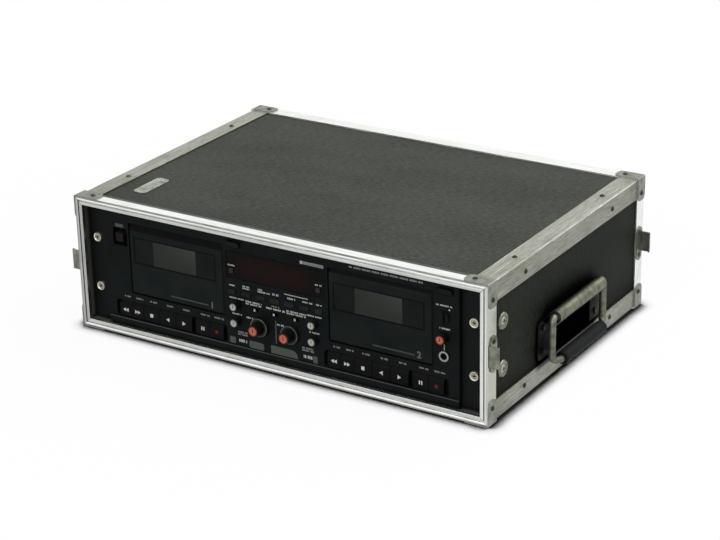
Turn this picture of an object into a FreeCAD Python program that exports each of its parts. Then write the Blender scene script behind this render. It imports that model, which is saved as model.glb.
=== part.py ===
"""Double cassette recorder in a portable rack case, built sub-part by sub-part.

Frame: origin at the middle of the underside of the case, +X to the right of someone facing
the controls, the controls face -Y, +Z up.  Millimetres.  Every node is written to parts/NODE.step.
"""
import FreeCAD, Part
import math
import os

Vec = FreeCAD.Vector
X_AXIS = Vec(1, 0, 0)
Y_AXIS = Vec(0, 1, 0)
Z_AXIS = Vec(0, 0, 1)
ORIGIN = Vec(0, 0, 0)

# ---------------------------------------------------------------- driving dimensions: the case
case_w = 508.0            # over the corner braces
case_d = 352.0            # front lip to back lip
case_h = 153.0            # over the corner braces
brace_t = 1.0             # pressed corner brace
frame_t = 2.0             # wall of the end-frame extrusion
board_t = 6.5             # laminated plywood
angle_t = 1.5             # edge angle
angle_leg = 22.0          # leg of the edge angle
frame_depth = 17.0        # flange of the end frame, front to back
lip_t = 4.0               # front face of the end frame, over the edge of the boards
lip_over = 0.5            # how far the lip stands inside the boards
groove_w = 1.5            # groove between the two beads of the lip
groove_d = 2.0
groove_in = 3.8           # from the outside of the frame to the groove
bead_r = 0.7              # rounding of the beads
mitre_gap = 0.1
seam = 0.2                # edge angle to end frame

brace_leg_x = 30.0        # brace on the top or bottom
brace_leg_z = 27.0        # brace on the side
brace_tab_r = 6.0         # rounded ends of the braces
brace_bend_r = 2.0
rivet_head_r = 3.0
rivet_crown_r = 1.7
rivet_head_h = 1.2
rivet_y = 98.0            # rivets of the edge angles, both sides of the middle
rivet_in = 12.5           # from the edge of the angle to its rivets
brace_rivet_x = 20.0      # brace rivets, from the outside of the case
brace_rivet_z = 18.5

keeper_w = 13.2           # latch keeper plate
keeper_h = 39.0
keeper_t = 1.2
keeper_in = 10.3          # middle of the plate behind the outer face of the lip
keeper_rivet_dz = 27.0
hook_h = 22.5             # hook that the latch of a lid pulls on
hook_out = 10.4
hook_t = 1.5
hook_lip = 1.5            # turned edge of the hook
hook_bend_r = 1.2
hook_in = 1.7             # face of the hook behind the outer face of the lip

# ---------------------------------------------------------------- side handles
bail_r = 3.8
barrel_fit = 0.1
barrel_wall = 3.2
barrel_out = 11.7         # bail axis in front of the side board
barrel_z = 74.0
barrel_len = 105.0
barrel_seam_w = 0.8       # groove where the edge of the rolled barrel meets it
barrel_seam_d = 1.0
barrel_seam_turn = 40.0   # groove below the front of the barrel, in degrees
shelf_t = 2.2             # shelf under the barrel
shelf_past = 1.8          # front edge of the shelf beyond the middle of the barrel
shelf_drop = 1.7          # underside of the shelf below the barrel
plate_t = 2.0
plate_top = 71.0
plate_low = 56.0
foot_in = 47.5            # feet of the bracket, along the case
foot_out = 71.0
foot_low = 29.0
foot_corner_r = 5.0
arm_y = 58.2
grip_out = 16.8           # grip axis in front of the side board
grip_z = 26.6
grip_r = 7.2
grip_len = 92.0
grip_rim_r = 1.5
bail_joint = 0.5          # half the gap between the ends of the rod, inside the barrel
bail_bend_r = 5.2         # at the ends of the barrel
corner_bend_r = 7.0       # at the lower corners
crank_in = 10.2           # slanting stretch between a lower corner and the grip
crank_bend_r = 8.0
handle_bolt_r = 4.0
handle_crown_r = 2.4
handle_bolt_h = 1.8
handle_bolt_in = 8.0      # lower bolt above the end of the foot
handle_bolt_up = 7.0      # upper bolt above the feet

# ---------------------------------------------------------------- rack front, 19 inch and 3 units high
rack_w = 482.6
three_units = 132.5       # panel height for which every "up", above the panel's lower edge, is given
panel_clear = 0.75        # panel to the boards above and below it
slot_dx = 465.1
slot_dz = 57.15
ear_t = 3.0
ear_set = 11.0            # face of the ears behind the lip of the case
ear_flange = 60.0
ear_flange_t = 2.0
ear_slot_r = 3.4
ear_slot_len = 10.0
fascia_w = 436.0
fascia_proud = 5.0        # face of the fascia in front of the ears
fascia_t = 3.0
fascia_rim = 2.5          # turned-back rim of the fascia
chassis_w = 430.0
chassis_d = 280.0         # behind the ears
chassis_in = 3.25         # chassis inside the edges of the panel
sheet_t = 1.2
cover_skirt = 20.0        # sides of the top cover, over the sides of the tray
rail_t = 2.0
rail_flange = 35.0
rail_clear = 0.3
rail_in = 8.0             # inner edge of the rail, from the side of the deck
rail_short = 1.0          # end of the rail to the edge of the rack panel
rack_bolt_r = 2.95
rack_hole_fit = 0.05
rack_bolt_len = 12.0
rack_washer_r = 5.4       # cup washer: foot, rim outside and rim inside
rack_rim_r = 4.8
rack_dish_r = 4.3
rack_washer_h = 2.2
rack_head_r = 3.7
rack_head_sink = 0.6
rail_bolt_y = 34.0        # bolts of the rails, behind the lip of the case
rail_bolt_dz = 51.5
rail_bolt_r = 2.9
rail_bolt_past = 2.0      # end of the bolt inside the rail
rail_washer_r = 9.2       # dished washer: foot, rim outside and rim inside
rail_rim_r = 8.2
rail_dish_r = 7.4
rail_washer_h = 1.4
rail_dish_d = 0.9
rail_head_r = 4.2
rail_crown_r = 3.0
rail_crown_h = 1.3
rail_head_h = 1.6

# ---------------------------------------------------------------- cassette doors
door_w = 120.0
door_up = 40.25
door_top_up = 120.25
door_x = 126.3            # middle of each door
door_gap = 0.8
door_t = 3.0
door_sink = 1.0           # face of the door behind the fascia
door_finger = 6.0         # bevel along the top for a finger
door_edge = 0.8           # what the bevel leaves of the thickness
door_corner_r = 1.5       # corners of the opening
pane_w = 104.0
pane_h = 27.5
pane_up = 76.75
pane_shift = -1.9         # middle of the window from the middle of the door
pane_t = 1.5
pane_rim = 1.5
pane_fit = 0.1
pane_sink = 0.2
pin_r = 1.0
pin_fit = 0.05
pin_len = 2.8
pin_root = 3.0            # pin inside the edge of the door
lug_w = 3.5
lug_h = 7.0
cassette_w = 100.4
cassette_h = 63.8
cassette_t = 12.0
cassette_lift = 2.5       # foot of the cassette above the hinge pin
carrier_play = 1.5
carrier_wall = 1.5
carrier_floor = 1.5
carrier_drop = 3.2        # cheeks below the top of the cassette
carrier_ledge = 7.0
carrier_lip = 3.0

# ---------------------------------------------------------------- transport keys, left to right
key_widths = [15.5, 15.5, 21.0, 21.0, 21.0, 17.5, 17.5]
key_names = ["rewind", "fast_forward", "stop", "reverse_play", "play", "pause", "record"]
key_gap = 0.6
key_group_gap = 5.5       # before the pause key
key_row_x = -209.0        # left end of the left-hand recess
key_row_pitch = 268.0     # left deck to right deck
key_row_w = 147.3
key_first = 3.0           # end of the recess to the first key
recess_up = 9.35
recess_h = 20.0
recess_r = 5.0
recess_depth = 7.0
key_h = 17.5
key_crease = 13.2         # height of the crease above the foot of the key
key_foot_gap = 0.8
key_sink = 1.0
key_depth = 3.6
key_bevel = 3.0
key_lean = 0.6
key_travel = 2.0
key_stem_w = 6.0
key_stem_h = 4.0
key_stem_len = 6.6
key_switch_t = 3.5
key_board_in = 1.0        # edge of the key board inside the recess
pocket_wall = 1.4
chin_up = 8.75            # shelf under the keys
chin_out = 1.8
chin_face = 1.6

# ---------------------------------------------------------------- small controls
fit = 0.3                 # button in its hole
flange_gap = 0.3          # button flange behind what keeps it
flange_over = 0.8
flange_t = 1.0
switch_gap = 0.3
button_xs = [-54.0, -36.0, -18.0, 0.0, 18.0, 36.0, 54.0]
button_widths = [8.5, 11.5, 11.5, 11.5, 11.5, 11.5, 8.5]
button_up = 69.75
button_h = 5.0
button_out = 1.0
button_edge_r = 0.4
button_travel = 0.8
reset_x = 53.7
reset_up = 93.25
reset_size = 5.2
slide_xs = [-25.0, -1.0, 25.0]
slide_up = 54.75
slide_tip = 3.4
slide_out = 1.6
slide_travel = 2.4
slide_plate = 1.2         # plate of the slider beyond its slot
slide_switch_gap = 0.2
slide_body_w = 12.0
slide_body_h = 5.5
eject_x = [-50.0, 202.5]
eject_up = 123.35
eject_w = 17.0
eject_h = 6.4
eject_out = 3.0           # upper edge of the sloping face
eject_out_low = 1.05      # lower edge
power_x = -198.5
power_up = 102.75
power_recess_w = 18.5
power_recess_h = 20.0
power_recess_depth = 9.0
power_recess_r = 1.0
power_size = 10.0
power_out = 1.5
power_edge_r = 0.6
display_w = 120.0
display_up = 85.25
display_top_up = 114.25
display_t = 1.5
display_sink = 0.5
display_ledge = 2.0
level_x = 19.0
level_up = 37.15
level_ring_r = 11.0
level_ring_out = 4.5
level_ring_wall = 4.0
level_ring_taper = 0.7
level_web = 1.2
level_knob_r = 6.3
level_knob_out = 15.2
level_knob_gap = 0.3      # inner knob to the web of the outer one
level_cap_in = 1.0
level_ring_flutes = 24
level_knob_flutes = 16
level_tube_r = 3.0
level_tube_in = 5.0       # hollow shaft inside its control
level_shaft_r = 2.0
knob_gap = 0.4            # knob to fascia
knob_cap_h = 0.8
flute_r = 0.6
flute_out = 0.25          # centre of a flute outside the knob
shaft_fit = 0.05
shaft_end = 0.6           # end of a shaft in front of its board
trim_x = 48.4
trim_ups = [55.35, 36.95]
trim_r = 4.9
trim_cap_r = 4.0
trim_out = 7.8
trim_shaft_r = 1.8
trim_flutes = 12
timer_up = 95.55
timer_r = 6.3
timer_out = 2.4
timer_grip = 2.2
timer_grip_in = 0.8
phones_x = 201.0          # column of controls at the right-hand end
phones_knob_up = 74.35
phones_knob_r = 5.4
phones_cap_r = 4.6
phones_knob_out = 9.4
phones_flutes = 14
jack_up = 53.75
jack_nut_r = 6.0
jack_nut_out = 1.6
jack_bore_r = 3.25
jack_sleeve = 1.2
jack_len = 30.0
jack_end = 2.0            # closed end of the socket
jack_body = 13.0
pot_size = 13.0
pot_t = 7.0
pot_floor = 0.3           # what the bores leave at the back
pot_step = 1.6            # depth of the narrow bore
tact_w = 6.0
tact_h = 4.6

# ---------------------------------------------------------------- boards and posts behind the fascia
board_set = 10.0          # control boards behind the face of the fascia
pcb_t = 1.6
post_r = 2.0
centre_board_w = 118.0
centre_board_ups = [11.75, 115.75]
centre_post_x = 57.5
centre_post_ups = [14.75, 80.75]
column_board_w = 15.0
column_board_gap = 0.5    # above the headphone socket
column_board_up = 114.75
column_post_ups = [64.35, 108.75]
display_body_w = 94.0
display_body_in = 4.0     # display module inside the edges of its window

# ---------------------------------------------------------------- cassette mechanisms
mech_half = 65.0
mech_plate_t = 1.5
mech_gap = 1.6            # carrier to mechanism plate
mech_foot = 4.0           # plate below the foot of the door
mech_plate_h = 79.0
mech_post_in = 2.0
mech_post_ups = [53.75, 86.75]
hub_pitch = 42.5
hub_height = 29.5
spindle_r = 2.9
spindle_out = 7.5
spline_t = 1.2
spline_pairs = 3
spline_out = 0.8
spline_in = 1.5           # splines stop behind the tip of the spindle
capstan_x = 30.0
capstan_up = 9.0
capstan_r = 1.1
capstan_out = 9.0
roller_up = 1.5
roller_r = 5.5
roller_out = 8.0
head_w = 34.0
head_h = 10.0
head_drop = 2.0
head_out = 10.0
drive_w = 96.0
drive_h = 62.0
drive_t = 20.5
motor_x = -22.0
motor_up = 34.0
motor_r = 17.0
motor_len = 26.0
flywheel_x = 22.0
flywheel_up = 22.0
flywheel_r = 18.0
flywheel_t = 5.0

# ---------------------------------------------------------------- inside and behind
vent_count = 9
vent_len = 70.0
vent_w = 4.0
vent_pitch = 14.0
vent_x = 110.0
vent_y = 20.0
main_board_x = [-150.0, 95.0]
main_board_y = [-60.0, 100.0]
main_board_rise = 6.0
main_post_r = 3.0
main_post_in = 5.0
can_xs = [40.0, 64.0]     # reservoir capacitors
can_y = 70.0
can_r = 9.0
can_h = 30.4
transformer_x = 165.0
transformer_y = 60.0
core_w = 66.0
core_d = 56.0
core_h = 52.0
winding_in = 24.0
winding_rise = 8.0
phono_xs = [-90.0, 60.0]
phono_columns = 2
phono_dx = 22.0
phono_dz = 16.0
phono_r = 4.2
phono_core_r = 1.6
phono_wall = 0.8
phono_out = 9.0
phono_in = 4.0
phono_fit = 0.1
inlet_in = 35.0           # middle of the inlet from the side of the chassis
inlet_up = 30.0
inlet_plate_w = 50.0      # plate that carries the inlet, over a hole in the rear panel
inlet_plate_h = 40.0
inlet_hole_in = 2.0       # hole inside the edges of the plate
inlet_w = 28.0
inlet_h = 20.0
inlet_flange = 1.8
inlet_depth = 22.0
inlet_mouth = 16.0
inlet_step = 2.2          # flange beyond the body of the inlet
inlet_wall = 4.5

# ---------------------------------------------------------------- for the construction only
over = 1.0                # how far a cutting shape runs past the face it cuts
bury = 0.5                # how far a shape reaches into the one it joins
near = 0.01               # two places closer than this are the same
full_round = 0.499        # share of a width that makes its end round

# ---------------------------------------------------------------- worked out from the above
knob_reach = level_knob_out + fascia_proud - ear_set     # level knobs in front of the lip
front_y = -(case_d - knob_reach) / 2                     # the overall box is centred on y = 0
mid_y = front_y + case_d / 2
mid_z = case_h / 2
frame_w = case_w - 2 * brace_t
frame_h = case_h - 2 * brace_t
board_w = frame_w - 2 * frame_t
board_h = frame_h - 2 * frame_t
inside_w = board_w - 2 * board_t
inside_h = board_h - 2 * board_t
lip_w = frame_t + board_t + lip_over
board_side = board_w / 2
board_len = case_d - 2 * lip_t
angle_len = case_d - 2 * (frame_depth + seam)
angle_x = board_side + angle_t
angle_top = mid_z + board_h / 2 + angle_t
bail_x = board_side + barrel_out

ear_y = front_y + ear_set
ear_back = ear_y + ear_t
fascia_y = ear_y - fascia_proud
fascia_back = fascia_y + fascia_t
panel_h = inside_h - 2 * panel_clear
panel_z0 = mid_z - panel_h / 2
panel_z1 = mid_z + panel_h / 2
half_fascia = fascia_w / 2
chassis_back = ear_back + chassis_d
chassis_z0 = panel_z0 + chassis_in
chassis_z1 = panel_z1 - chassis_in
half_chassis = chassis_w / 2
rail_x = inside_w / 2 - rail_clear
rail_y = front_y + rail_bolt_y



def at(up):
    """Height of a place on the panel; places keep their share of its height."""
    return panel_z0 + up * panel_h / three_units


door_z = at(door_up)
door_top = at(door_top_up)
pane_z = at(pane_up)
recess_z = at(recess_up)
chin_z = at(chin_up)
button_z = at(button_up)
reset_z = at(reset_up)
slide_z = at(slide_up)
eject_z = at(eject_up)
power_z = at(power_up)
display_z = at(display_up)
display_top = at(display_top_up)
level_z = at(level_up)
trim_zs = [at(up) for up in trim_ups]
timer_z = at(timer_up)
phones_knob_z = at(phones_knob_up)
jack_z = at(jack_up)
centre_board_zs = [at(up) for up in centre_board_ups]
centre_post_zs = [at(up) for up in centre_post_ups]
column_board_top = at(column_board_up)
column_post_zs = [at(up) for up in column_post_ups]
mech_post_zs = [at(up) for up in mech_post_ups]

door_xs = [-door_x, door_x]
door_y = fascia_y + door_sink
door_back = door_y + door_t
door_h = door_top - door_z
hinge_y = door_y + door_t / 2
hinge_z = door_z + door_t / 2
cassette_z = hinge_z + cassette_lift
carrier_back = door_back + cassette_t + carrier_play / 2
hub_z = cassette_z + hub_height
mech_y = carrier_back + carrier_wall + mech_gap
mech_back = mech_y + mech_plate_t

row_starts = [key_row_x, key_row_x + key_row_pitch]
recess_floor = fascia_y + recess_depth
key_y = fascia_y + key_sink
key_back = key_y + key_depth
key_z = recess_z + key_foot_gap
stem_z = key_z + key_h / 2
key_switch_y = key_back + key_stem_len + key_travel + switch_gap
key_board_y = key_switch_y + key_switch_t
board_y = fascia_y + board_set
display_back = fascia_y + display_sink + display_t
power_floor = fascia_y + power_recess_depth + pocket_wall
knob_back = fascia_y - knob_gap
shaft_back = board_y - shaft_end
floor_z = chassis_z0 + sheet_t
inlet_x = inlet_in - half_chassis
inlet_z = chassis_z0 + inlet_up


# ---------------------------------------------------------------- small helpers
def block(x, y, z):
    """Box from three (low, high) pairs."""
    return Part.makeBox(x[1] - x[0], y[1] - y[0], z[1] - z[0], Vec(x[0], y[0], z[0]))


def about(middle, size):
    """(low, high) pair of the given size about a middle."""
    return (middle - size / 2, middle + size / 2)


def peg(x, z, radius, y0, y1):
    """Cylinder along Y from y0 to y1."""
    return Part.makeCylinder(radius, y1 - y0, Vec(x, y0, z), Y_AXIS)


def pin_x(y, z, radius, x0, x1):
    """Cylinder along X from x0 to x1."""
    return Part.makeCylinder(radius, x1 - x0, Vec(x0, y, z), X_AXIS)


def peg_up(x, y, radius, z0, z1):
    """Cylinder along Z from z0 to z1."""
    return Part.makeCylinder(radius, z1 - z0, Vec(x, y, z0), Z_AXIS)


def ring(x, z, outer, inner, y0, y1):
    """Tube along Y."""
    return peg(x, z, outer, y0, y1).cut(peg(x, z, inner, y0, y1))


def turned(profile, base, axis):
    """Solid of revolution from (radius, height) points that begin and end on its axis."""
    corners = [Vec(radius, 0, height) for radius, height in profile]
    solid = Part.Face(Part.makePolygon(corners + corners[:1])).revolve(ORIGIN, Z_AXIS, 360)
    solid.Placement = FreeCAD.Placement(base, FreeCAD.Rotation(Z_AXIS, axis))
    return solid


def prism_x(points, x0, x1):
    """Extrusion along X of an outline given as (y, z) points."""
    corners = [Vec(x0, y, z) for y, z in points]
    face = Part.Face(Part.makePolygon(corners + corners[:1]))
    return face.extrude(Vec(x1 - x0, 0, 0))


def prism_y(points, y0, y1):
    """Extrusion along Y of an outline given as (x, z) points."""
    corners = [Vec(x, y0, z) for x, z in points]
    face = Part.Face(Part.makePolygon(corners + corners[:1]))
    return face.extrude(Vec(0, y1 - y0, 0))


def runs_along(edge, axis):
    """True for a straight edge along the axis."""
    return abs(edge.tangentAt(0).dot(axis)) > 1 - near


def edges_where(shape, test):
    """Edges that pass a test of (middle, edge)."""
    return [edge for edge in shape.Edges if test(edge.CenterOfMass, edge)]


def slab(x, z, width, height, corner, y0, y1):
    """Plate in the X-Z plane with rounded corners, from y0 to y1."""
    plate = block(about(x, width), (y0, y1), about(z, height))
    radius = min(corner, full_round * min(width, height))
    return plate.makeFillet(radius, edges_where(plate, lambda mid, edge: runs_along(edge, Y_AXIS)))


def rounded_front(shape, front, radius):
    """Rounds the edges of the face that looks forward at y = front."""
    return shape.makeFillet(radius, edges_where(shape, lambda mid, edge: mid.y < front + near))


def fuse(shapes):
    """One solid from overlapping or touching shapes."""
    whole = shapes[0]
    if len(shapes) > 1:
        whole = whole.fuse(shapes[1:])
    return whole.removeSplitter()


def mirror_x(shape):
    return shape.mirror(ORIGIN, X_AXIS)


def mirror_y(shape):
    """Mirror front to back through the middle of the case."""
    return shape.mirror(Vec(0, mid_y, 0), Y_AXIS)


def mirror_mid(shape):
    """Mirror through the horizontal plane at half the height of the case."""
    return shape.mirror(Vec(0, 0, mid_z), Z_AXIS)


def left_and_right(shape):
    return [shape, mirror_x(shape)]


def four_corners(shape):
    """A shape at the upper right, repeated at the other three corners seen from the front."""
    pair = left_and_right(shape)
    return pair + [mirror_mid(one) for one in pair]


# ---------------------------------------------------------------- the case
def rail_holes():
    """Bores for the bolts of the rack rails, through a side board and a rail."""
    return [pin_x(rail_y, z, rail_bolt_r + rack_hole_fit, 0, case_w) for z in about(mid_z, rail_bolt_dz)]


def case_boards():
    """Two full-width boards and two side boards between them."""
    ends = about(mid_y, board_len)
    top = block(about(0, board_w), ends, (mid_z + inside_h / 2, mid_z + board_h / 2))
    side = block((inside_w / 2, board_side), ends, about(mid_z, inside_h))
    return [top, mirror_mid(top)] + left_and_right(side.cut(rail_holes()))


def frame_bar(length):
    """One extruded bar of an end frame, lying along X with its outside at z = 0, mitred ends."""
    y0 = front_y
    outline = [(y0, 0), (y0 + frame_depth, 0), (y0 + frame_depth, -frame_t), (y0 + lip_t, -frame_t),
               (y0 + lip_t, -lip_w), (y0, -lip_w), (y0, -groove_in - groove_w),
               (y0 + groove_d, -groove_in - groove_w), (y0 + groove_d, -groove_in), (y0, -groove_in)]
    bar = prism_x(outline, -length / 2, length / 2)
    beads = edges_where(bar, lambda mid, edge: mid.y < y0 + near and runs_along(edge, X_AXIS))
    bar = bar.makeFillet(bead_r, beads)
    half = length / 2 - mitre_gap
    mitre = prism_y([(-half, 0), (half, 0), (half - lip_w, -lip_w), (lip_w - half, -lip_w)],
                    y0, y0 + frame_depth)
    return bar.common(mitre)


def end_frames():
    """Four mitred bars round the front opening and four round the back one."""
    flat = frame_bar(frame_w)
    flat.translate(Vec(0, 0, mid_z + frame_h / 2))
    upright = frame_bar(frame_h)
    upright.rotate(ORIGIN, Y_AXIS, 90)
    upright.translate(Vec(frame_w / 2, 0, mid_z))
    front = [flat, mirror_mid(flat)] + left_and_right(upright)
    return front + [mirror_y(bar) for bar in front]


def bent_angle(out_x, out_z, leg_x, leg_z, thickness, y0, y1):
    """Angle with its bend at the upper right, rounded outside."""
    outline = [(out_x, out_z), (out_x - leg_x, out_z), (out_x - leg_x, out_z - thickness),
               (out_x - thickness, out_z - thickness), (out_x - thickness, out_z - leg_z),
               (out_x, out_z - leg_z)]
    angle = prism_y(outline, y0, y1)
    outside = edges_where(angle, lambda mid, edge: mid.x > out_x - near and mid.z > out_z - near)
    return angle.makeFillet(brace_bend_r, outside)


def edge_angles():
    """Four aluminium angles along the long edges, between the end frames."""
    ends = about(mid_y, angle_len)
    return four_corners(bent_angle(angle_x, angle_top, angle_leg, angle_leg, angle_t, *ends))


def corner_brace():
    """Pressed brace over the upper right corner of the front frame, with rounded ends."""
    out_x = case_w / 2
    brace = bent_angle(out_x, case_h, brace_leg_x, brace_leg_z, brace_t, front_y, front_y + frame_depth)
    tab_ends = edges_where(brace, lambda mid, edge: edge.Length < brace_t + near and (
        mid.x < out_x - brace_leg_x + near or mid.z < case_h - brace_leg_z + near)
        and not runs_along(edge, Y_AXIS))
    return brace.makeFillet(brace_tab_r, tab_ends)


def corner_braces():
    front = four_corners(corner_brace())
    return front + [mirror_y(brace) for brace in front]


def rivet(x, y, z, axis):
    """Flat-domed rivet head that stands on a face at x, y, z."""
    return Part.makeCone(rivet_head_r, rivet_crown_r, rivet_head_h, Vec(x, y, z), axis)


def case_rivets():
    """Heads on the edge angles, corner braces and keepers, apart from those under the lowest braces."""
    brace_y = front_y + frame_depth / 2
    angle_y = mid_y - rivet_y
    corner = [rivet(angle_x - rivet_in, angle_y, angle_top, Z_AXIS),
              rivet(angle_x, angle_y, angle_top - rivet_in, X_AXIS),
              rivet(case_w / 2 - brace_rivet_x, brace_y, case_h, Z_AXIS),
              rivet(case_w / 2, brace_y, case_h - brace_rivet_z, X_AXIS),
              rivet(frame_w / 2 + keeper_t, front_y + keeper_in, mid_z + keeper_rivet_dz / 2, X_AXIS)]
    heads = []
    for head in corner:
        heads += four_corners(head)
    heads = [head for head in heads if head.BoundBox.ZMin > -near]
    return heads + [mirror_y(head) for head in heads]


def latch_keeper():
    """Obround plate on the side of the front frame with a hook for the latch of a lid."""
    face = frame_w / 2
    plate = block((face, face + keeper_t), about(front_y + keeper_in, keeper_w), about(mid_z, keeper_h))
    corners = edges_where(plate, lambda mid, edge: runs_along(edge, X_AXIS))
    plate = plate.makeFillet(full_round * keeper_w, corners)
    hook_z = about(mid_z, hook_h)
    hook_y = front_y + hook_in
    tip = face + hook_out
    web = block((face, tip), (hook_y, hook_y + hook_t), hook_z)
    lip = block((tip - hook_t, tip), (hook_y, hook_y + hook_t + hook_lip), hook_z)
    tongue = block((face, face + keeper_t), (hook_y, front_y + keeper_in), hook_z)
    hook = fuse([web, lip])
    outside = edges_where(hook, lambda mid, edge: mid.x > tip - near and mid.y < hook_y + near
                          and runs_along(edge, Z_AXIS))
    return fuse([plate, tongue, hook.makeFillet(hook_bend_r, outside)])


def latch_keepers():
    front = left_and_right(latch_keeper())
    return front + [mirror_y(keeper) for keeper in front]


# ---------------------------------------------------------------- side handles
def handle_bracket():
    """Steel plate on the board, with a shelf that carries the rolled barrel of the bail."""
    inner = bail_r + barrel_fit
    outer = inner + barrel_wall
    ends = about(mid_y, barrel_len)
    barrel = ring(bail_x, barrel_z, outer, inner, *ends)
    shelf_low = barrel_z - outer - shelf_drop
    shelf = block((board_side, bail_x + shelf_past), ends, (shelf_low, shelf_low + shelf_t))
    seam = block((bail_x + outer - barrel_seam_d, bail_x + outer + over), ends,
                 about(barrel_z, barrel_seam_w))
    seam.rotate(Vec(bail_x, 0, barrel_z), Y_AXIS, barrel_seam_turn)
    back = block((board_side, board_side + plate_t), about(mid_y, 2 * foot_out), (plate_low, plate_top))
    foot_y = (mid_y - foot_out, mid_y - foot_in)
    foot = block((board_side, board_side + plate_t), foot_y, (foot_low, plate_low))
    plate = fuse([back, foot, mirror_y(foot)])
    corners = edges_where(plate, lambda mid, edge: runs_along(edge, X_AXIS)
                          and abs(mid.y - mid_y) > foot_out - near)
    return fuse([plate.makeFillet(foot_corner_r, corners), shelf, barrel.cut(seam)])


def handle_bolts():
    """Button heads that hold the feet of the bracket."""
    places = [(y, z) for y in about(mid_y, foot_in + foot_out)
              for z in (foot_low + handle_bolt_in, plate_low + handle_bolt_up)]
    return [Part.makeCone(handle_bolt_r, handle_crown_r, handle_bolt_h,
                          Vec(board_side + plate_t, y, z), X_AXIS) for y, z in places]


def handle_brackets():
    right = [handle_bracket()] + handle_bolts()
    return right + [mirror_x(shape) for shape in right]


def run(start, end, radius):
    """Straight stretch of round rod."""
    along = end - start
    return Part.makeCylinder(radius, along.Length, start, along)


def bend(corner, back, ahead, bend_r, radius):
    """Arc of round rod tangent to both directions at a corner, and how much it takes off each run."""
    turn = math.pi - back.getAngle(ahead)
    trim = bend_r * math.tan(turn / 2)
    middle = corner + (back + ahead).normalize() * (bend_r / math.cos(turn / 2))
    face = Part.Face(Part.Wire(Part.makeCircle(radius, corner + back * trim, back)))
    normal = ahead.cross(back).normalize()
    return face.revolve(middle, normal, math.degrees(turn)), trim


def bent_rod(points, bend_radii, radius):
    """Round rod through the points, with an arc at each inner point."""
    pieces = []
    start = points[0]
    for before, corner, after, bend_r in zip(points, points[1:], points[2:], bend_radii):
        back = (before - corner).normalize()
        ahead = (after - corner).normalize()
        arc, trim = bend(corner, back, ahead, bend_r, radius)
        pieces += [run(start, corner + back * trim, radius), arc]
        start = corner + ahead * trim
    pieces.append(run(start, points[-1], radius))
    return fuse(pieces)


def side_handle():
    """Bent rod with its ends meeting inside the barrel, and the moulded grip on it."""
    grip_x = board_side + grip_out
    points = [Vec(bail_x, mid_y + bail_joint, barrel_z), Vec(bail_x, mid_y + arm_y, barrel_z),
              Vec(bail_x, mid_y + arm_y, grip_z), Vec(grip_x, mid_y + arm_y - crank_in, grip_z),
              Vec(grip_x, mid_y, grip_z)]
    half = bent_rod(points, [bail_bend_r, corner_bend_r, crank_bend_r], bail_r)
    rod = fuse([half, mirror_y(half)])
    grip = peg(grip_x, grip_z, grip_r, *about(mid_y, grip_len))
    rims = edges_where(grip, lambda mid, edge: abs(abs(mid.y - mid_y) - grip_len / 2) < near)
    grip = grip.makeFillet(grip_rim_r, rims)
    return rod, grip.cut(peg(grip_x, grip_z, bail_r, *about(mid_y, grip_len + 2 * over)))


# ---------------------------------------------------------------- rack rails and fixings
def rack_rails():
    """Steel angles inside the side boards; the ears of the deck bolt to them."""
    height = about(mid_z, panel_h - 2 * rail_short)
    front = block((half_chassis + rail_in, rail_x), (ear_back, ear_back + rail_t), height)
    side = block((rail_x - rail_t, rail_x), (ear_back, ear_back + rail_flange), height)
    holes = [peg(slot_dx / 2, z, rack_bolt_r + rack_hole_fit, ear_back - over, ear_back + rail_t + over)
             for z in about(mid_z, slot_dz)]
    return left_and_right(fuse([front, side]).cut(holes + rail_holes()))


def rack_screw(x, z):
    """Countersunk screw in a cup washer, through the ear into the rail."""
    head_h = rack_washer_h - rack_head_sink
    cup = turned([(0, 0), (rack_washer_r, 0), (rack_rim_r, rack_washer_h), (rack_dish_r, rack_washer_h),
                  (rack_head_r, head_h), (0, head_h)], Vec(x, ear_y, z), Y_AXIS * -1)
    return fuse([cup, peg(x, z, rack_bolt_r, ear_y - bury, ear_y - head_h + rack_bolt_len)])


def rail_bolt(z):
    """Oval-headed bolt in a dished washer, through the side board into the rail."""
    head = turned([(0, 0), (rail_washer_r, 0), (rail_rim_r, rail_washer_h), (rail_dish_r, rail_washer_h),
                   (rail_head_r, rail_washer_h - rail_dish_d), (rail_crown_r, rail_crown_h),
                   (0, rail_head_h)], Vec(board_side, rail_y, z), X_AXIS)
    return fuse([head, pin_x(rail_y, z, rail_bolt_r, rail_x - rail_t - rail_bolt_past, board_side + bury)])


def rack_bolts():
    """Four rack screws in the ears and four bolts that hold the rails."""
    bolts = [rack_screw(x, z) for x in about(0, slot_dx) for z in about(mid_z, slot_dz)]
    for z in about(mid_z, rail_bolt_dz):
        bolts += left_and_right(rail_bolt(z))
    return bolts


def rack_ears():
    """Angle brackets screwed to the sides of the chassis."""
    plate = block((half_chassis, rack_w / 2), (ear_y, ear_back), (panel_z0, panel_z1))
    flange = block((half_chassis, half_chassis + ear_flange_t), (ear_back, ear_back + ear_flange),
                   (chassis_z0, chassis_z1))
    slots = [slab(slot_dx / 2, z, ear_slot_len, 2 * ear_slot_r, ear_slot_r, ear_y - over, ear_back + over)
             for z in about(mid_z, slot_dz)]
    return left_and_right(fuse([plate, flange]).cut(slots))


# ---------------------------------------------------------------- the fascia
def pocket(x, z, depth):
    """Walls and floor of a recess behind the fascia, for (low, high) pairs in X and Z."""
    shell = block((x[0] - pocket_wall, x[1] + pocket_wall), (fascia_back, fascia_y + depth + pocket_wall),
                  (z[0] - pocket_wall, z[1] + pocket_wall))
    return shell.cut(block(x, (fascia_back, fascia_y + depth), z))


def key_places(row_start):
    """(low, high) pair in X for each transport key of one deck."""
    places = []
    x = row_start + key_first
    for name, width in zip(key_names, key_widths):
        if name == "pause":
            x += key_group_gap - key_gap
        places.append((x, x + width))
        x += width + key_gap
    return places


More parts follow.
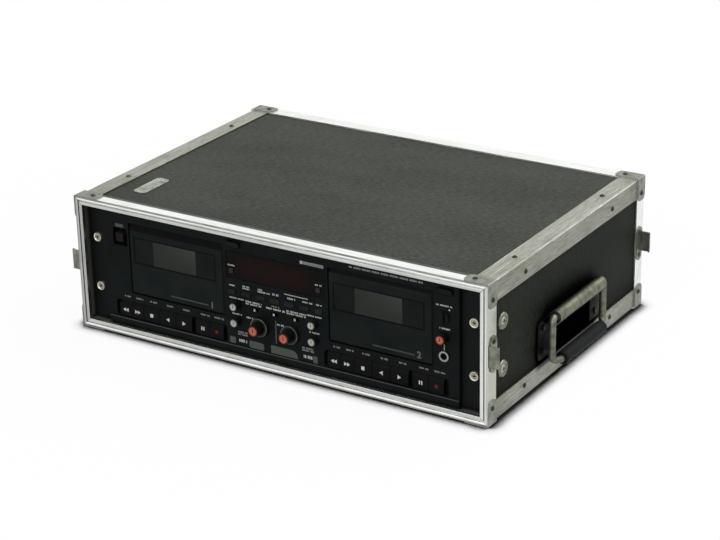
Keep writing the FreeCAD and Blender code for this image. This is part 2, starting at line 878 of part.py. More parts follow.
def key_board_posts(row_start):
    """Posts from the floor of a key recess to its board, between the first two keys and the last two."""
    places = key_places(row_start)
    middles = [(left[1] + right[0]) / 2 for left, right in (places[:2], places[-2:])]
    return [peg(x, stem_z, post_r, recess_floor, key_board_y) for x in middles]


def fascia_openings():
    """Everything that is cut through the face of the fascia."""
    deep = (fascia_y - chin_out - over, fascia_back + bury)
    cuts = []
    for x in door_xs:
        cuts.append(slab(x, door_z + door_h / 2, door_w + 2 * door_gap, door_h + 2 * door_gap,
                         door_corner_r, *deep))
    for start in row_starts:
        cuts.append(slab(start + key_row_w / 2, recess_z + recess_h / 2, key_row_w, recess_h,
                         recess_r, *deep))
    cuts.append(slab(power_x, power_z, power_recess_w, power_recess_h, power_recess_r, *deep))
    cuts.append(block(about(0, display_w + 2 * fit), (deep[0], display_back),
                      (display_z - fit, display_top + fit)))
    cuts.append(block(about(0, display_w - 2 * display_ledge), deep,
                      (display_z + display_ledge, display_top - display_ledge)))
    for x, width in zip(button_xs, button_widths):
        cuts.append(block(about(x, width + 2 * fit), deep, about(button_z, button_h + 2 * fit)))
    for x in slide_xs:
        cuts.append(block(about(x, slide_tip + 2 * slide_travel + 2 * fit), deep,
                          about(slide_z, slide_tip + 2 * fit)))
    for x in eject_x:
        cuts.append(slab(x, eject_z, eject_w + 2 * fit, eject_h + 2 * fit, eject_h / 2, *deep))
    for x in (-level_x, level_x):
        cuts.append(peg(x, level_z, level_tube_r + fit, *deep))
    for x in (-trim_x, trim_x):
        cuts += [peg(x, z, trim_shaft_r + fit, *deep) for z in trim_zs]
    cuts += [peg(phones_x, z, trim_shaft_r + fit, *deep) for z in (timer_z, phones_knob_z)]
    cuts.append(peg(phones_x, jack_z, jack_bore_r + jack_sleeve + fit, *deep))
    return cuts


def mechanism_posts():
    """Where the posts of the mechanism plates stand, as (x, z)."""
    reach = mech_half - mech_post_in
    return [(x, z) for middle in door_xs for x in (middle - reach, middle + reach) for z in mech_post_zs]


def fascia_posts():
    """Posts behind the fascia that carry the boards and the mechanisms."""
    posts = [peg(x, z, post_r, fascia_back, board_y) for x in (-centre_post_x, centre_post_x)
             for z in centre_post_zs]
    posts += [peg(x, z, post_r, fascia_back, mech_y) for x, z in mechanism_posts()]
    posts += [peg(phones_x, z, post_r, fascia_back, board_y) for z in column_post_zs]
    for start in row_starts:
        posts += key_board_posts(start)
    return posts


def hinge_lugs(x):
    """Lugs at both ends of a door's foot, and the bore for its pins."""
    half = door_w / 2 + door_gap
    lugs = [block((x + half, x + half + lug_w), (fascia_back, hinge_y + lug_h / 2), about(hinge_z, lug_h)),
            block((x - half - lug_w, x - half), (fascia_back, hinge_y + lug_h / 2), about(hinge_z, lug_h))]
    bore = pin_x(hinge_y, hinge_z, pin_r + pin_fit, x - half - pin_len, x + half + pin_len)
    return lugs, bore


def front_panel():
    """Moulded fascia: plate, shelf under the keys, rim, recesses, hinge lugs and board posts."""
    height = (panel_z0, panel_z1)
    plate = block(about(0, fascia_w), (fascia_y, fascia_back), height)
    chin = prism_x([(fascia_y + bury, chin_z), (fascia_y - chin_out, chin_z),
                    (fascia_y - chin_out, chin_z - chin_face), (fascia_y, panel_z0 + bury),
                    (fascia_y + bury, panel_z0 + bury)], -half_fascia, half_fascia)
    rim = block(about(0, fascia_w), (fascia_back, ear_y), height)
    rim = rim.cut(block(about(0, fascia_w - 2 * fascia_rim), (fascia_back, ear_y),
                        (panel_z0 + fascia_rim, panel_z1 - fascia_rim)))
    solids = [plate, chin, rim] + fascia_posts()
    cuts = fascia_openings()
    for start in row_starts:
        solids.append(pocket((start, start + key_row_w), (recess_z, recess_z + recess_h), recess_depth))
        for place in key_places(start):
            cuts.append(block(about(sum(place) / 2, key_stem_w + 2 * fit),
                              (recess_floor - over, recess_floor + pocket_wall + over),
                              about(stem_z, key_stem_h + 2 * fit)))
    solids.append(pocket(about(power_x, power_recess_w), about(power_z, power_recess_h), power_recess_depth))
    cuts.append(block(about(power_x, power_size + 2 * fit), (fascia_y, power_floor + over),
                      about(power_z, power_size + 2 * fit)))
    for x in door_xs:
        lugs, bore = hinge_lugs(x)
        solids += lugs
        cuts.append(bore)
    return fuse(solids).cut(cuts)


def display_window():
    """Dark pane in the rebate of the fascia, with a hole for each counter reset button."""
    pane = block(about(0, display_w), (fascia_y + display_sink, display_back), (display_z, display_top))
    holes = [block(about(x, reset_size + 2 * fit), (fascia_y - over, display_back + over),
                   about(reset_z, reset_size + 2 * fit)) for x in (-reset_x, reset_x)]
    return [pane.cut(holes)]


# ---------------------------------------------------------------- cassette doors
def carrier_side(x, sign):
    """Cheek, rear lip and ledge at one side of the cassette, and the hinge pin there."""
    inner = (cassette_w + carrier_play) / 2
    outer = inner + carrier_wall
    rear = carrier_back + carrier_wall
    foot = cassette_z - carrier_floor
    cheek_z = (foot, cassette_z + cassette_h - carrier_drop)

    def across(reach):
        return sorted((x + sign * (inner - reach), x + sign * outer))

    pin = sorted((x + sign * (door_w / 2 - pin_root), x + sign * (door_w / 2 + pin_len)))
    return [block(across(0), (door_back, rear), cheek_z),
            block(across(carrier_lip), (carrier_back, rear), cheek_z),
            block(across(carrier_ledge), (door_back, rear), (foot, cassette_z)),
            pin_x(hinge_y, hinge_z, pin_r, *pin)]


def cassette_door(x):
    """Door with a bevel for the finger, window rebate, cassette carrier and hinge pins."""
    outline = [(door_y, door_z), (door_y, door_top - door_finger), (door_back - door_edge, door_top),
               (door_back, door_top), (door_back, door_z)]
    door = prism_x(outline, x - door_w / 2, x + door_w / 2)
    foot = edges_where(door, lambda mid, edge: mid.z < door_z + near and runs_along(edge, X_AXIS))
    door = door.makeFillet(full_round * door_t, foot)
    pane_x = x + pane_shift
    rebate = block(about(pane_x, pane_w + 2 * pane_fit), (door_y - over, door_y + pane_t),
                   (pane_z - pane_fit, pane_z + pane_h + pane_fit))
    window = block(about(pane_x, pane_w - 2 * pane_rim), (door_y, door_back + over),
                   (pane_z + pane_rim, pane_z + pane_h - pane_rim))
    return fuse([door.cut([rebate, window])] + carrier_side(x, -1) + carrier_side(x, 1))


def window_pane(x):
    return block(about(x + pane_shift, pane_w), (door_y + pane_sink, door_y + pane_t),
                 (pane_z, pane_z + pane_h))


# ---------------------------------------------------------------- keys and buttons
def transport_key(place):
    """Key cap with a crease, leaning back above it, and a stem into its switch."""
    outline = [(key_y, key_z), (key_y + key_lean, key_z + key_crease), (key_y + key_bevel, key_z + key_h),
               (key_back, key_z + key_h), (key_back, key_z)]
    stem = block(about(sum(place) / 2, key_stem_w), (key_back, key_back + key_stem_len),
                 about(stem_z, key_stem_h))
    return fuse([prism_x(outline, *place), stem])


def flanged_button(x, z, width, height, out, edge_r, seat):
    """Rectangular button that a flange keeps behind its seat."""
    flange_y = seat + flange_gap
    cap = block(about(x, width), (fascia_y - out, flange_y), about(z, height))
    flange = block(about(x, width + 2 * flange_over), (flange_y, flange_y + flange_t),
                   about(z, height + 2 * flange_over))
    return fuse([rounded_front(cap, fascia_y - out, edge_r), flange])


def slide_switch(x):
    """Slider with a tip through a slot and a plate behind it."""
    back = fascia_back + flange_gap
    tip = block(about(x, slide_tip), (fascia_y - slide_out, back), about(slide_z, slide_tip))
    plate = block(about(x, slide_tip + 4 * slide_travel + 2 * slide_plate), (back, back + flange_t),
                  about(slide_z, slide_tip + 2 * slide_plate))
    return fuse([tip, plate])


def eject_button(x):
    """Obround button with a sloping face."""
    back = fascia_back + flange_gap
    cap = slab(x, eject_z, eject_w, eject_h, eject_h / 2, fascia_y - eject_out, back)
    slope = prism_x([(fascia_y - eject_out - over, eject_z - eject_h),
                     (fascia_y - eject_out, eject_z + eject_h / 2),
                     (fascia_y - eject_out_low, eject_z - eject_h / 2),
                     (fascia_y - eject_out_low, eject_z - eject_h)], x - eject_w, x + eject_w)
    flange = slab(x, eject_z, eject_w + 2 * flange_over, eject_h + 2 * flange_over, eject_h / 2,
                  back, back + flange_t)
    return fuse([cap.cut(slope), flange])


# ---------------------------------------------------------------- knobs
def flutes(x, z, radius, y0, y1, count):
    """Round grooves along the side of a knob."""
    turns = [2 * math.pi * index / count for index in range(count)]
    reach = radius + flute_out
    return [peg(x + reach * math.cos(turn), z + reach * math.sin(turn), flute_r, y0, y1) for turn in turns]


def turned_knob(x, z, radius, cap_r, out, shaft_r, count, back=knob_back):
    """Fluted body, raised cap and shaft."""
    face = fascia_y - out
    body = peg(x, z, radius, face + knob_cap_h, back)
    body = body.cut(flutes(x, z, radius, face, back + over, count))
    cap = peg(x, z, cap_r, face, face + knob_cap_h)
    return fuse([body, cap, peg(x, z, shaft_r, back, shaft_back)])


def trim_knob(x, z):
    return turned_knob(x, z, trim_r, trim_cap_r, trim_out, trim_shaft_r, trim_flutes)


def phones_knob():
    return turned_knob(phones_x, phones_knob_z, phones_knob_r, phones_cap_r, phones_knob_out,
                       trim_shaft_r, phones_flutes)


def level_ring(x):
    """Outer knob of a level control, for one channel: a low ring on a hollow shaft."""
    face = fascia_y - level_ring_out
    body = Part.makeCone(level_ring_r - level_ring_taper, level_ring_r, knob_back - face,
                         Vec(x, face, level_z), Y_AXIS)
    hollow = peg(x, level_z, level_ring_r - level_ring_wall, face - over, knob_back - level_web)
    tube = peg(x, level_z, level_tube_r, knob_back - bury, board_y - pot_t + level_tube_in)
    bore = peg(x, level_z, level_shaft_r + shaft_fit, face - over, board_y)
    grooves = flutes(x, level_z, level_ring_r, face - over, knob_back - knob_cap_h, level_ring_flutes)
    return fuse([body.cut(hollow), tube]).cut([bore] + grooves)


def level_knob(x):
    """Inner knob of a level control: long, fluted, with a coloured cap."""
    back = knob_back - level_web - level_knob_gap
    return turned_knob(x, level_z, level_knob_r, level_knob_r - level_cap_in, level_knob_out,
                       level_shaft_r, level_knob_flutes, back)


def timer_knob():
    """Flat disc with a bar to turn it by."""
    face = fascia_y - timer_out
    disc = peg(phones_x, timer_z, timer_r, face, knob_back)
    grip = block(about(phones_x, timer_grip), (face - timer_grip, face),
                 about(timer_z, 2 * (timer_r - timer_grip_in)))
    return fuse([disc, grip, peg(phones_x, timer_z, trim_shaft_r, knob_back, shaft_back)])


# ---------------------------------------------------------------- inside the deck
def phono_places():
    """Two rows of phono sockets for each deck, as (x, z)."""
    return [(start + phono_dx * column, z) for start in phono_xs for column in range(phono_columns)
            for z in about(mid_z, phono_dz)]


def chassis_tray():
    """Steel floor, side walls and rear panel with holes for the sockets."""
    outer = block(about(0, chassis_w), (ear_back, chassis_back), (chassis_z0, chassis_z1))
    inner = block(about(0, chassis_w - 2 * sheet_t), (ear_back - over, chassis_back - sheet_t),
                  (floor_z, chassis_z1 + over))
    through = (chassis_back - sheet_t - over, chassis_back + over)
    holes = [peg(x, z, phono_r + phono_fit, *through) for x, z in phono_places()]
    holes.append(block(about(inlet_x, inlet_plate_w - 2 * inlet_hole_in), through,
                       about(inlet_z, inlet_plate_h - 2 * inlet_hole_in)))
    return [outer.cut(inner).cut(holes)]


def top_cover():
    """Sheet cover with turned-down sides and rows of vents."""
    ear_end = ear_back + ear_flange + over
    height = (chassis_z1, chassis_z1 + sheet_t)
    plate = block(about(0, chassis_w + 2 * sheet_t), (ear_end, chassis_back), height)
    front = block(about(0, chassis_w), (ear_back, ear_end), height)
    side = block((half_chassis, half_chassis + sheet_t), (ear_end, chassis_back),
                 (chassis_z1 - cover_skirt, chassis_z1 + sheet_t))
    vents = []
    for x in (-vent_x, vent_x):
        for index in range(vent_count):
            y = vent_y + (index - (vent_count - 1) / 2) * vent_pitch
            vents.append(block(about(x, vent_len), about(y, vent_w), (chassis_z1 - over, height[1] + over)))
    return [fuse([plate, front] + left_and_right(side)).cut(vents)]


def phones_jack():
    """Headphone socket: ringed nut on the fascia, body behind it."""
    nut = ring(phones_x, jack_z, jack_nut_r, jack_bore_r, fascia_y - jack_nut_out, fascia_y)
    sleeve = ring(phones_x, jack_z, jack_bore_r + jack_sleeve, jack_bore_r, fascia_y, fascia_back)
    body = block(about(phones_x, jack_body), (fascia_back, fascia_y + jack_len), about(jack_z, jack_body))
    body = body.cut(peg(phones_x, jack_z, jack_bore_r, fascia_back, fascia_y + jack_len - jack_end))
    return fuse([nut, sleeve, body])


def phono_socket(x, z):
    """Shell with its centre contact."""
    tip = chassis_back + phono_out
    shell = peg(x, z, phono_r, chassis_back - sheet_t - phono_in, tip)
    return shell.cut(ring(x, z, phono_r - phono_wall, phono_core_r, chassis_back + over, tip))


def mains_inlet():
    """Plate over the hole in the rear panel, with a flanged inlet and a recess for the lead."""
    face = chassis_back + sheet_t
    plate = block(about(inlet_x, inlet_plate_w), (chassis_back, face), about(inlet_z, inlet_plate_h))
    flange = block(about(inlet_x, inlet_w), (face, face + inlet_flange), about(inlet_z, inlet_h))
    body = block(about(inlet_x, inlet_w - 2 * inlet_step), (chassis_back - inlet_depth, chassis_back),
                 about(inlet_z, inlet_h - 2 * inlet_step))
    mouth = block(about(inlet_x, inlet_w - 2 * inlet_wall),
                  (chassis_back - inlet_mouth, face + inlet_flange + over),
                  about(inlet_z, inlet_h - 2 * inlet_wall))
    return fuse([plate, flange, body]).cut(mouth)


def sockets():
    """Headphone socket in front; phono sockets and mains inlet behind."""
    return [phones_jack()] + [phono_socket(x, z) for x, z in phono_places()] + [mains_inlet()]


def spindle(x):
    """Reel spindle with three pairs of splines."""
    tip = mech_y - spindle_out
    height = about(hub_z, 2 * (spindle_r + spline_out))
    shapes = [peg(x, hub_z, spindle_r, tip, mech_y)]
    for pair in range(spline_pairs):
        spline = block(about(x, spline_t), (tip + spline_in, mech_y), height)
        shapes.append(spline.rotate(Vec(x, 0, hub_z), Y_AXIS, 180 * pair / spline_pairs))
    return fuse(shapes)


def cassette_mechanism(x):
    """Plate with reel spindles, capstans, pinch rollers and head block, drive and motor behind."""
    plate_z = door_z - mech_foot
    shapes = [block(about(x, 2 * mech_half), (mech_y, mech_back), (plate_z, plate_z + mech_plate_h))]
    for sign in (-1, 1):
        shapes.append(spindle(x + sign * hub_pitch / 2))
        side = x + sign * capstan_x
        shapes.append(peg(side, cassette_z + capstan_up, capstan_r, mech_y - capstan_out, mech_y))
        shapes.append(peg(side, cassette_z + roller_up, roller_r, mech_y - roller_out, mech_y))
    head_z = cassette_z - head_drop
    shapes.append(block(about(x, head_w), (mech_y - head_out, mech_y), (head_z, head_z + head_h)))
    drive_back = mech_back + drive_t
    shapes.append(block(about(x, drive_w), (mech_back, drive_back), (cassette_z, cassette_z + drive_h)))
    shapes.append(peg(x + motor_x, cassette_z + motor_up, motor_r, drive_back, drive_back + motor_len))
    shapes.append(peg(x + flywheel_x, cassette_z + flywheel_up, flywheel_r,
                      drive_back, drive_back + flywheel_t))
    return fuse(shapes)


def potentiometer(x, z, bore_r, inner_r):
    """Control on a board, bored for its shaft or for two shafts one in the other."""
    front = board_y - pot_t
    body = block(about(x, pot_size), (front, board_y), about(z, pot_size))
    return body.cut([peg(x, z, bore_r, front - over, board_y - pot_step),
                     peg(x, z, inner_r, front - over, board_y - pot_floor)])


def potentiometers():
    bore_r = trim_shaft_r + shaft_fit
    places = [(x, z) for x in (-trim_x, trim_x) for z in trim_zs]
    places += [(phones_x, z) for z in (timer_z, phones_knob_z)]
    shapes = [potentiometer(x, z, bore_r, bore_r) for x, z in places]
    return shapes + [potentiometer(x, level_z, level_tube_r + shaft_fit, level_shaft_r + shaft_fit)
                     for x in (-level_x, level_x)]


def tact_switch(x, z, front, back, width=tact_w, height=tact_h):
    return block(about(x, width), (front, back), about(z, height))


def button_switches():
    """Switches behind the function buttons, counter resets and slide switches."""
    pressed = flange_gap + flange_t + button_travel + switch_gap
    shapes = [tact_switch(x, button_z, fascia_back + pressed, board_y) for x in button_xs]
    shapes += [tact_switch(x, reset_z, display_back + pressed, board_y) for x in (-reset_x, reset_x)]
    slide_back = fascia_back + flange_gap + flange_t + slide_switch_gap
    return shapes + [tact_switch(x, slide_z, slide_back, board_y, slide_body_w, slide_body_h)
                     for x in slide_xs]


def key_board(start):
    """Board behind a row of keys, with a switch behind each stem."""
    board = block((start + key_board_in, start + key_row_w - key_board_in),
                  (key_board_y, key_board_y + pcb_t),
                  (recess_z + key_board_in, recess_z + recess_h - key_board_in))
    return [board] + [tact_switch(sum(place) / 2, stem_z, key_switch_y, key_board_y)
                      for place in key_places(start)]


def main_board():
    """Board on four posts on the floor of the chassis, with its reservoir capacitors."""
    under = floor_z + main_board_rise
    top = under + pcb_t
    shapes = [block(main_board_x, main_board_y, (under, top))]
    shapes += [peg_up(x, y, main_post_r, floor_z, under)
               for x in (main_board_x[0] + main_post_in, main_board_x[1] - main_post_in)
               for y in (main_board_y[0] + main_post_in, main_board_y[1] - main_post_in)]
    return shapes + [peg_up(x, can_y, can_r, top, top + can_h) for x in can_xs]


def transformer():
    """Laminated core with its winding, on the floor of the chassis."""
    core = block(about(transformer_x, core_w), about(transformer_y, core_d), (floor_z, floor_z + core_h))
    winding = block(about(transformer_x, core_w - winding_in), about(transformer_y, core_d + winding_in),
                    (floor_z + winding_rise, floor_z + core_h - winding_rise))
    return fuse([core, winding])


def circuit_boards():
    """Control boards behind the fascia, main board on the floor, mains transformer."""
    thick = (board_y, board_y + pcb_t)
    column_low = jack_z + jack_body / 2 + column_board_gap
    shapes = [block(about(0, centre_board_w), thick, centre_board_zs),
              block(about(phones_x, column_board_w), thick, (column_low, column_board_top)),
              block(about(0, display_body_w), (display_back + fit, board_y),
                    (display_z + display_body_in, display_top - display_body_in))]
    shapes += potentiometers() + button_switches()
    for start in row_starts:
        shapes += key_board(start)
    return shapes + main_board() + [transformer()]


# ---------------------------------------------------------------- every node
def build_nodes():
    nodes = {
        "case_boards": case_boards(),
        "end_frames": end_frames(),
        "edge_angles": edge_angles(),
        "corner_braces": corner_braces(),
        "case_rivets": case_rivets(),
        "latch_keepers": latch_keepers(),
        "handle_brackets": handle_brackets(),
        "rack_rails": rack_rails(),
        "rack_bolts": rack_bolts(),
        "rack_ears": rack_ears(),
        "front_panel": [front_panel()],
        "display_window": display_window(),
        "chassis_tray": chassis_tray(),
        "top_cover": top_cover(),
        "sockets": sockets(),
        "cassette_mechanisms": [cassette_mechanism(x) for x in door_xs],
        "circuit_boards": circuit_boards(),
        "power_button": [flanged_button(power_x, power_z, power_size, power_size, power_out, power_edge_r,
                                        power_floor)],
        "timer_knob": [timer_knob()],
        "phones_knob": [phones_knob()],
    }
    rod, grip = side_handle()
    nodes["side_handle_right"] = [rod, grip]
    nodes["side_handle_left"] = [mirror_x(rod), mirror_x(grip)]
    for deck, x, button_x, start in zip(("left", "right"), door_xs, eject_x, row_starts):
        nodes["cassette_door_" + deck] = [cassette_door(x), window_pane(x)]
        nodes["eject_button_" + deck] = [eject_button(button_x)]
        for name, place in zip(key_names, key_places(start)):
            nodes["key_" + name + "_" + deck] = [transport_key(place)]
    for number, (x, width) in enumerate(zip(button_xs, button_widths), 1):
        nodes["function_button_" + str(number)] = [flanged_button(x, button_z, width, button_h, button_out,
                                                                  button_edge_r, fascia_back)]
    for number, x in enumerate(slide_xs, 1):
        nodes["slide_switch_" + str(number)] = [slide_switch(x)]
    for side, sign in (("left", -1), ("right", 1)):
        nodes["counter_reset_" + side] = [flanged_button(sign * reset_x, reset_z, reset_size, reset_size,
                                                         button_out, button_edge_r, display_back)]
        nodes["level_ring_" + side] = [level_ring(sign * level_x)]
        nodes["level_knob_" + side] = [level_knob(sign * level_x)]
        for height, z in zip(("upper", "lower"), trim_zs):
            nodes["trim_knob_" + height + "_" + side] = [trim_knob(sign * trim_x, z)]
    return nodes


def write_nodes(nodes):
    os.makedirs("parts", exist_ok=True)
    for name, shapes in nodes.items():
        shape = shapes[0] if len(shapes) == 1 else Part.makeCompound(shapes)
        bad = [one for one in shapes if not one.isValid() or one.Volume <= 0]
        print(name, len(shapes), "solids", round(shape.Volume), "mm3", "BAD" if bad else "")
        shape.exportStep("parts/" + name + ".step")


write_nodes(build_nodes())
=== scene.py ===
"""Finishes, printed marks, floor, lamps and camera for the double cassette recorder in its rack case.

Sizes are in millimetres and are turned into metres where a mesh is made.  The frame is the model's:
+X to the right of someone facing the controls, the controls face -Y, +Z up.
"""

import math

import bmesh
import bpy
from mathutils import Matrix, Vector


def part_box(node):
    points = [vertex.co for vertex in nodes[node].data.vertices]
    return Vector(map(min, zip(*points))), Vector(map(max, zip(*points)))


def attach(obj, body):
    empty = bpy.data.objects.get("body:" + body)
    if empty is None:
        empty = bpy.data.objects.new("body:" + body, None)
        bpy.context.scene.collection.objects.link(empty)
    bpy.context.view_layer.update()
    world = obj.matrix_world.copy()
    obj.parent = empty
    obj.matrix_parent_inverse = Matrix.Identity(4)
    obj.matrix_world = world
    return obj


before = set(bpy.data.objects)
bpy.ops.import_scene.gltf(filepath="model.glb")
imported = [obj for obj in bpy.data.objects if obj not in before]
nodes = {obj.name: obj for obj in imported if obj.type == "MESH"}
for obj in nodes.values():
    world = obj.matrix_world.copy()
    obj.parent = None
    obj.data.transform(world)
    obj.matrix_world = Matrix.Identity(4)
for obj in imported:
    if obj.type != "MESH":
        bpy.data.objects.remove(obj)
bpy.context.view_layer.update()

MM = 0.001


# ================================================================ places taken from the frame
def low(node):
    """Lowest corner of a CAD node in millimetres."""
    return [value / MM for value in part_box(node)[0]]


def high(node):
    """Highest corner of a CAD node in millimetres."""
    return [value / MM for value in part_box(node)[1]]


def middle(node):
    return [(a + b) / 2 for a, b in zip(low(node), high(node))]


def starting(prefix):
    return [name for name in nodes if name.startswith(prefix)]


sides = ("left", "right")
frame_low = low("end_frames")
frame_high = high("end_frames")
mid_y = (frame_low[1] + frame_high[1]) / 2
mid_z = (frame_low[2] + frame_high[2]) / 2
frame_flange = 17.0       # the end frames reach this far over the boards
lip_deep = 1.0            # depth of the rounded front face of the lip
board_high = high("case_boards")
angle_out = high("edge_angles")[0]
bracket_low = low("handle_brackets")
bracket_high = high("handle_brackets")
bracket_foot_out = 3.6    # the painted shadow on the feet of a bracket ends this far off the board
grip_len = 92.0
grip_top = 44.5
grip_end_w = 3.5          # darker ends of the grip
rack_screw_dx = 465.1
rack_screw_dz = 57.15
rack_head_r = 3.7
rack_head_h = 1.6         # screw head in front of the ear
rail_bolt_dz = 51.5
rail_bolt_y = frame_low[1] + 34.0
rail_head_r = 4.2
rail_head_h = 1.6         # bolt head outside the board
fascia_y = low("cassette_door_left")[1] - 1.0
shelf_z = 19.0            # top of the shelf under the keys
transport_names = ["rewind", "fast_forward", "stop", "reverse_play", "play", "pause", "record"]


# ================================================================ finishes
def screen(red, green, blue):
    """A colour given as on a screen, 0 to 255, in the linear values that a shader takes."""
    def linear(value):
        value /= 255
        return value / 12.92 if value <= 0.04045 else ((value + 0.055) / 1.055) ** 2.4
    return (linear(red), linear(green), linear(blue), 1.0)


class Nodes:
    """Short calls that lay nodes in one tree."""

    def __init__(self, tree):
        self.tree = tree

    def node(self, kind, **settings):
        node = self.tree.nodes.new("ShaderNode" + kind)
        for name, value in settings.items():
            setattr(node, name, value)
        return node

    def feed(self, socket, value):
        if isinstance(value, bpy.types.NodeSocket):
            self.tree.links.new(value, socket)
        else:
            socket.default_value = value

    def joined(self, kind, *values, **settings):
        """The output of a new node whose first inputs take those values."""
        node = self.node(kind, **settings)
        for socket, value in zip(node.inputs, values):
            self.feed(socket, value)
        return node.outputs[0]

    def maths(self, operation, *values):
        return self.joined("Math", *values, operation=operation)

    def ramp(self, value, start, end, first=0.0, last=1.0):
        """From first to last as the value goes from start to end."""
        return self.joined("MapRange", value, start, end, first, last, clamp=True)

    def both(self, *masks):
        """1 where all masks are 1."""
        product = masks[0]
        for mask in masks[1:]:
            product = self.maths("MULTIPLY", product, mask)
        return product

    def either(self, *masks):
        """1 where one of the masks is 1."""
        largest = masks[0]
        for mask in masks[1:]:
            largest = self.maths("MAXIMUM", largest, mask)
        return largest


class Finish(Nodes):
    """One material: a Principled shader, with short calls that lay nodes before it.

    Places are in millimetres, from the object's own coordinates.  Colours are given as on a screen.
    """

    def __init__(self, name, base, roughness, metallic=0.0, specular=0.5, edge=0.3):
        self.material = bpy.data.materials.new(name)
        self.material.use_nodes = True
        super().__init__(self.material.node_tree)
        self.shader = self.tree.nodes["Principled BSDF"]
        self.at = self.mapped((1 / MM, 1 / MM, 1 / MM), self.node("TexCoord").outputs["Object"])
        split = self.node("SeparateXYZ")
        self.feed(split.inputs[0], self.at)
        self.x, self.y, self.z = split.outputs
        self.set("Base Color", screen(*base))
        self.set("Roughness", roughness)
        self.set("Metallic", metallic)
        self.set("Specular IOR Level", specular)
        self.normal = None
        if edge:
            bevel = self.node("Bevel", samples=4)
            bevel.inputs["Radius"].default_value = edge * MM
            self.normal = bevel.outputs[0]
            self.set("Normal", self.normal)

    def set(self, socket, value):
        """Gives one of the shader's sockets a value or a node's output."""
        self.feed(self.shader.inputs[socket], value)

    def mapped(self, scale, vector=None):
        node = self.node("Mapping")
        self.feed(node.inputs["Vector"], vector or self.at)
        node.inputs["Scale"].default_value = scale
        return node.outputs[0]

    def plus(self, first, second):
        return self.maths("ADD", first, second)

    def minus(self, first, second):
        return self.maths("SUBTRACT", first, second)

    def away(self, value, place=0.0):
        """How far a value lies from a place, on either side of it."""
        return self.maths("ABSOLUTE", self.minus(value, place))

    def radius(self, across, up):
        return self.maths("SQRT", self.plus(self.both(across, across), self.both(up, up)))

    def past(self, value, edge, soft=0.1):
        """0 before an edge, 1 past it."""
        return self.ramp(value, edge - soft, edge + soft)

    def before(self, value, edge, soft=0.1):
        """1 before an edge, 0 past it."""
        return self.ramp(value, edge - soft, edge + soft, 1.0, 0.0)

    def between(self, value, start, end, soft=0.05):
        """1 from start to end, 0 outside."""
        return self.both(self.past(value, start, soft), self.before(value, end, soft))

    def outside(self, mask):
        return self.minus(1.0, mask)

    def chosen(self, mask, first, second):
        """The first value, or the second where the mask is 1."""
        return self.ramp(mask, 0.0, 1.0, first, second)

    def disc(self, x, z, radius, soft=0.08):
        """1 nearer than the radius to a place on the front, 0 outside."""
        return self.before(self.radius(self.minus(self.x, x), self.minus(self.z, z)), radius, soft)

    def noise(self, size, along=(1, 1, 1), detail=3.0):
        """Noise with features of that size, drawn out along an axis by a factor over 1."""
        node = self.node("TexNoise")
        self.feed(node.inputs["Vector"], self.mapped([1 / (size * factor) for factor in along]))
        node.inputs["Scale"].default_value = 1.0
        node.inputs["Detail"].default_value = detail
        return node.outputs[0]

    def mix(self, share, first, second):
        """A colour between two colours."""
        node = self.node("Mix", data_type="RGBA")
        self.feed(node.inputs[0], share)
        for index, colour in ((6, first), (7, second)):
            self.feed(node.inputs[index], screen(*colour) if isinstance(colour, tuple) else colour)
        return node.outputs[2]

    def occlusion_shade(self, reach, least, start=0.4, end=0.85):
        """Painted shade from ambient occlusion: a share that falls to the least where something stands
        within that reach.
        """
        node = self.node("AmbientOcclusion", samples=6)
        node.inputs["Distance"].default_value = reach * MM
        return self.ramp(node.outputs["AO"], start, end, least, 1.0)

    def shaded(self, share, colour):
        """A colour with painted shade, darker where the share is low."""
        return self.mix(share, (4, 5, 4), colour)

    def bump(self, height, depth):
        """Raises the surface by a height from 0 to 1, times a depth in millimetres."""
        node = self.node("Bump")
        node.inputs["Distance"].default_value = depth * MM
        self.feed(node.inputs["Height"], height)
        if self.normal:
            self.feed(node.inputs["Normal"], self.normal)
        self.normal = node.outputs[0]
        self.set("Normal", self.normal)


# black of the painted shadow behind each handle
painted_shadow_black = (3, 3, 3)


def painted_shadow_behind_handle(finish):
    """1 in the height and depth of the painted shadow on the side of the case, behind a handle."""
    handle_front, handle_back = bracket_low[1] - 1.0, bracket_high[1] - 8.0
    grime_foot, grime_top = 19.0, bracket_high[2] - 10.0
    return finish.both(finish.between(finish.y, handle_front, handle_back, 5.0),
                       finish.past(finish.z, grime_foot, 2.0), finish.before(finish.z, grime_top, 6.0))


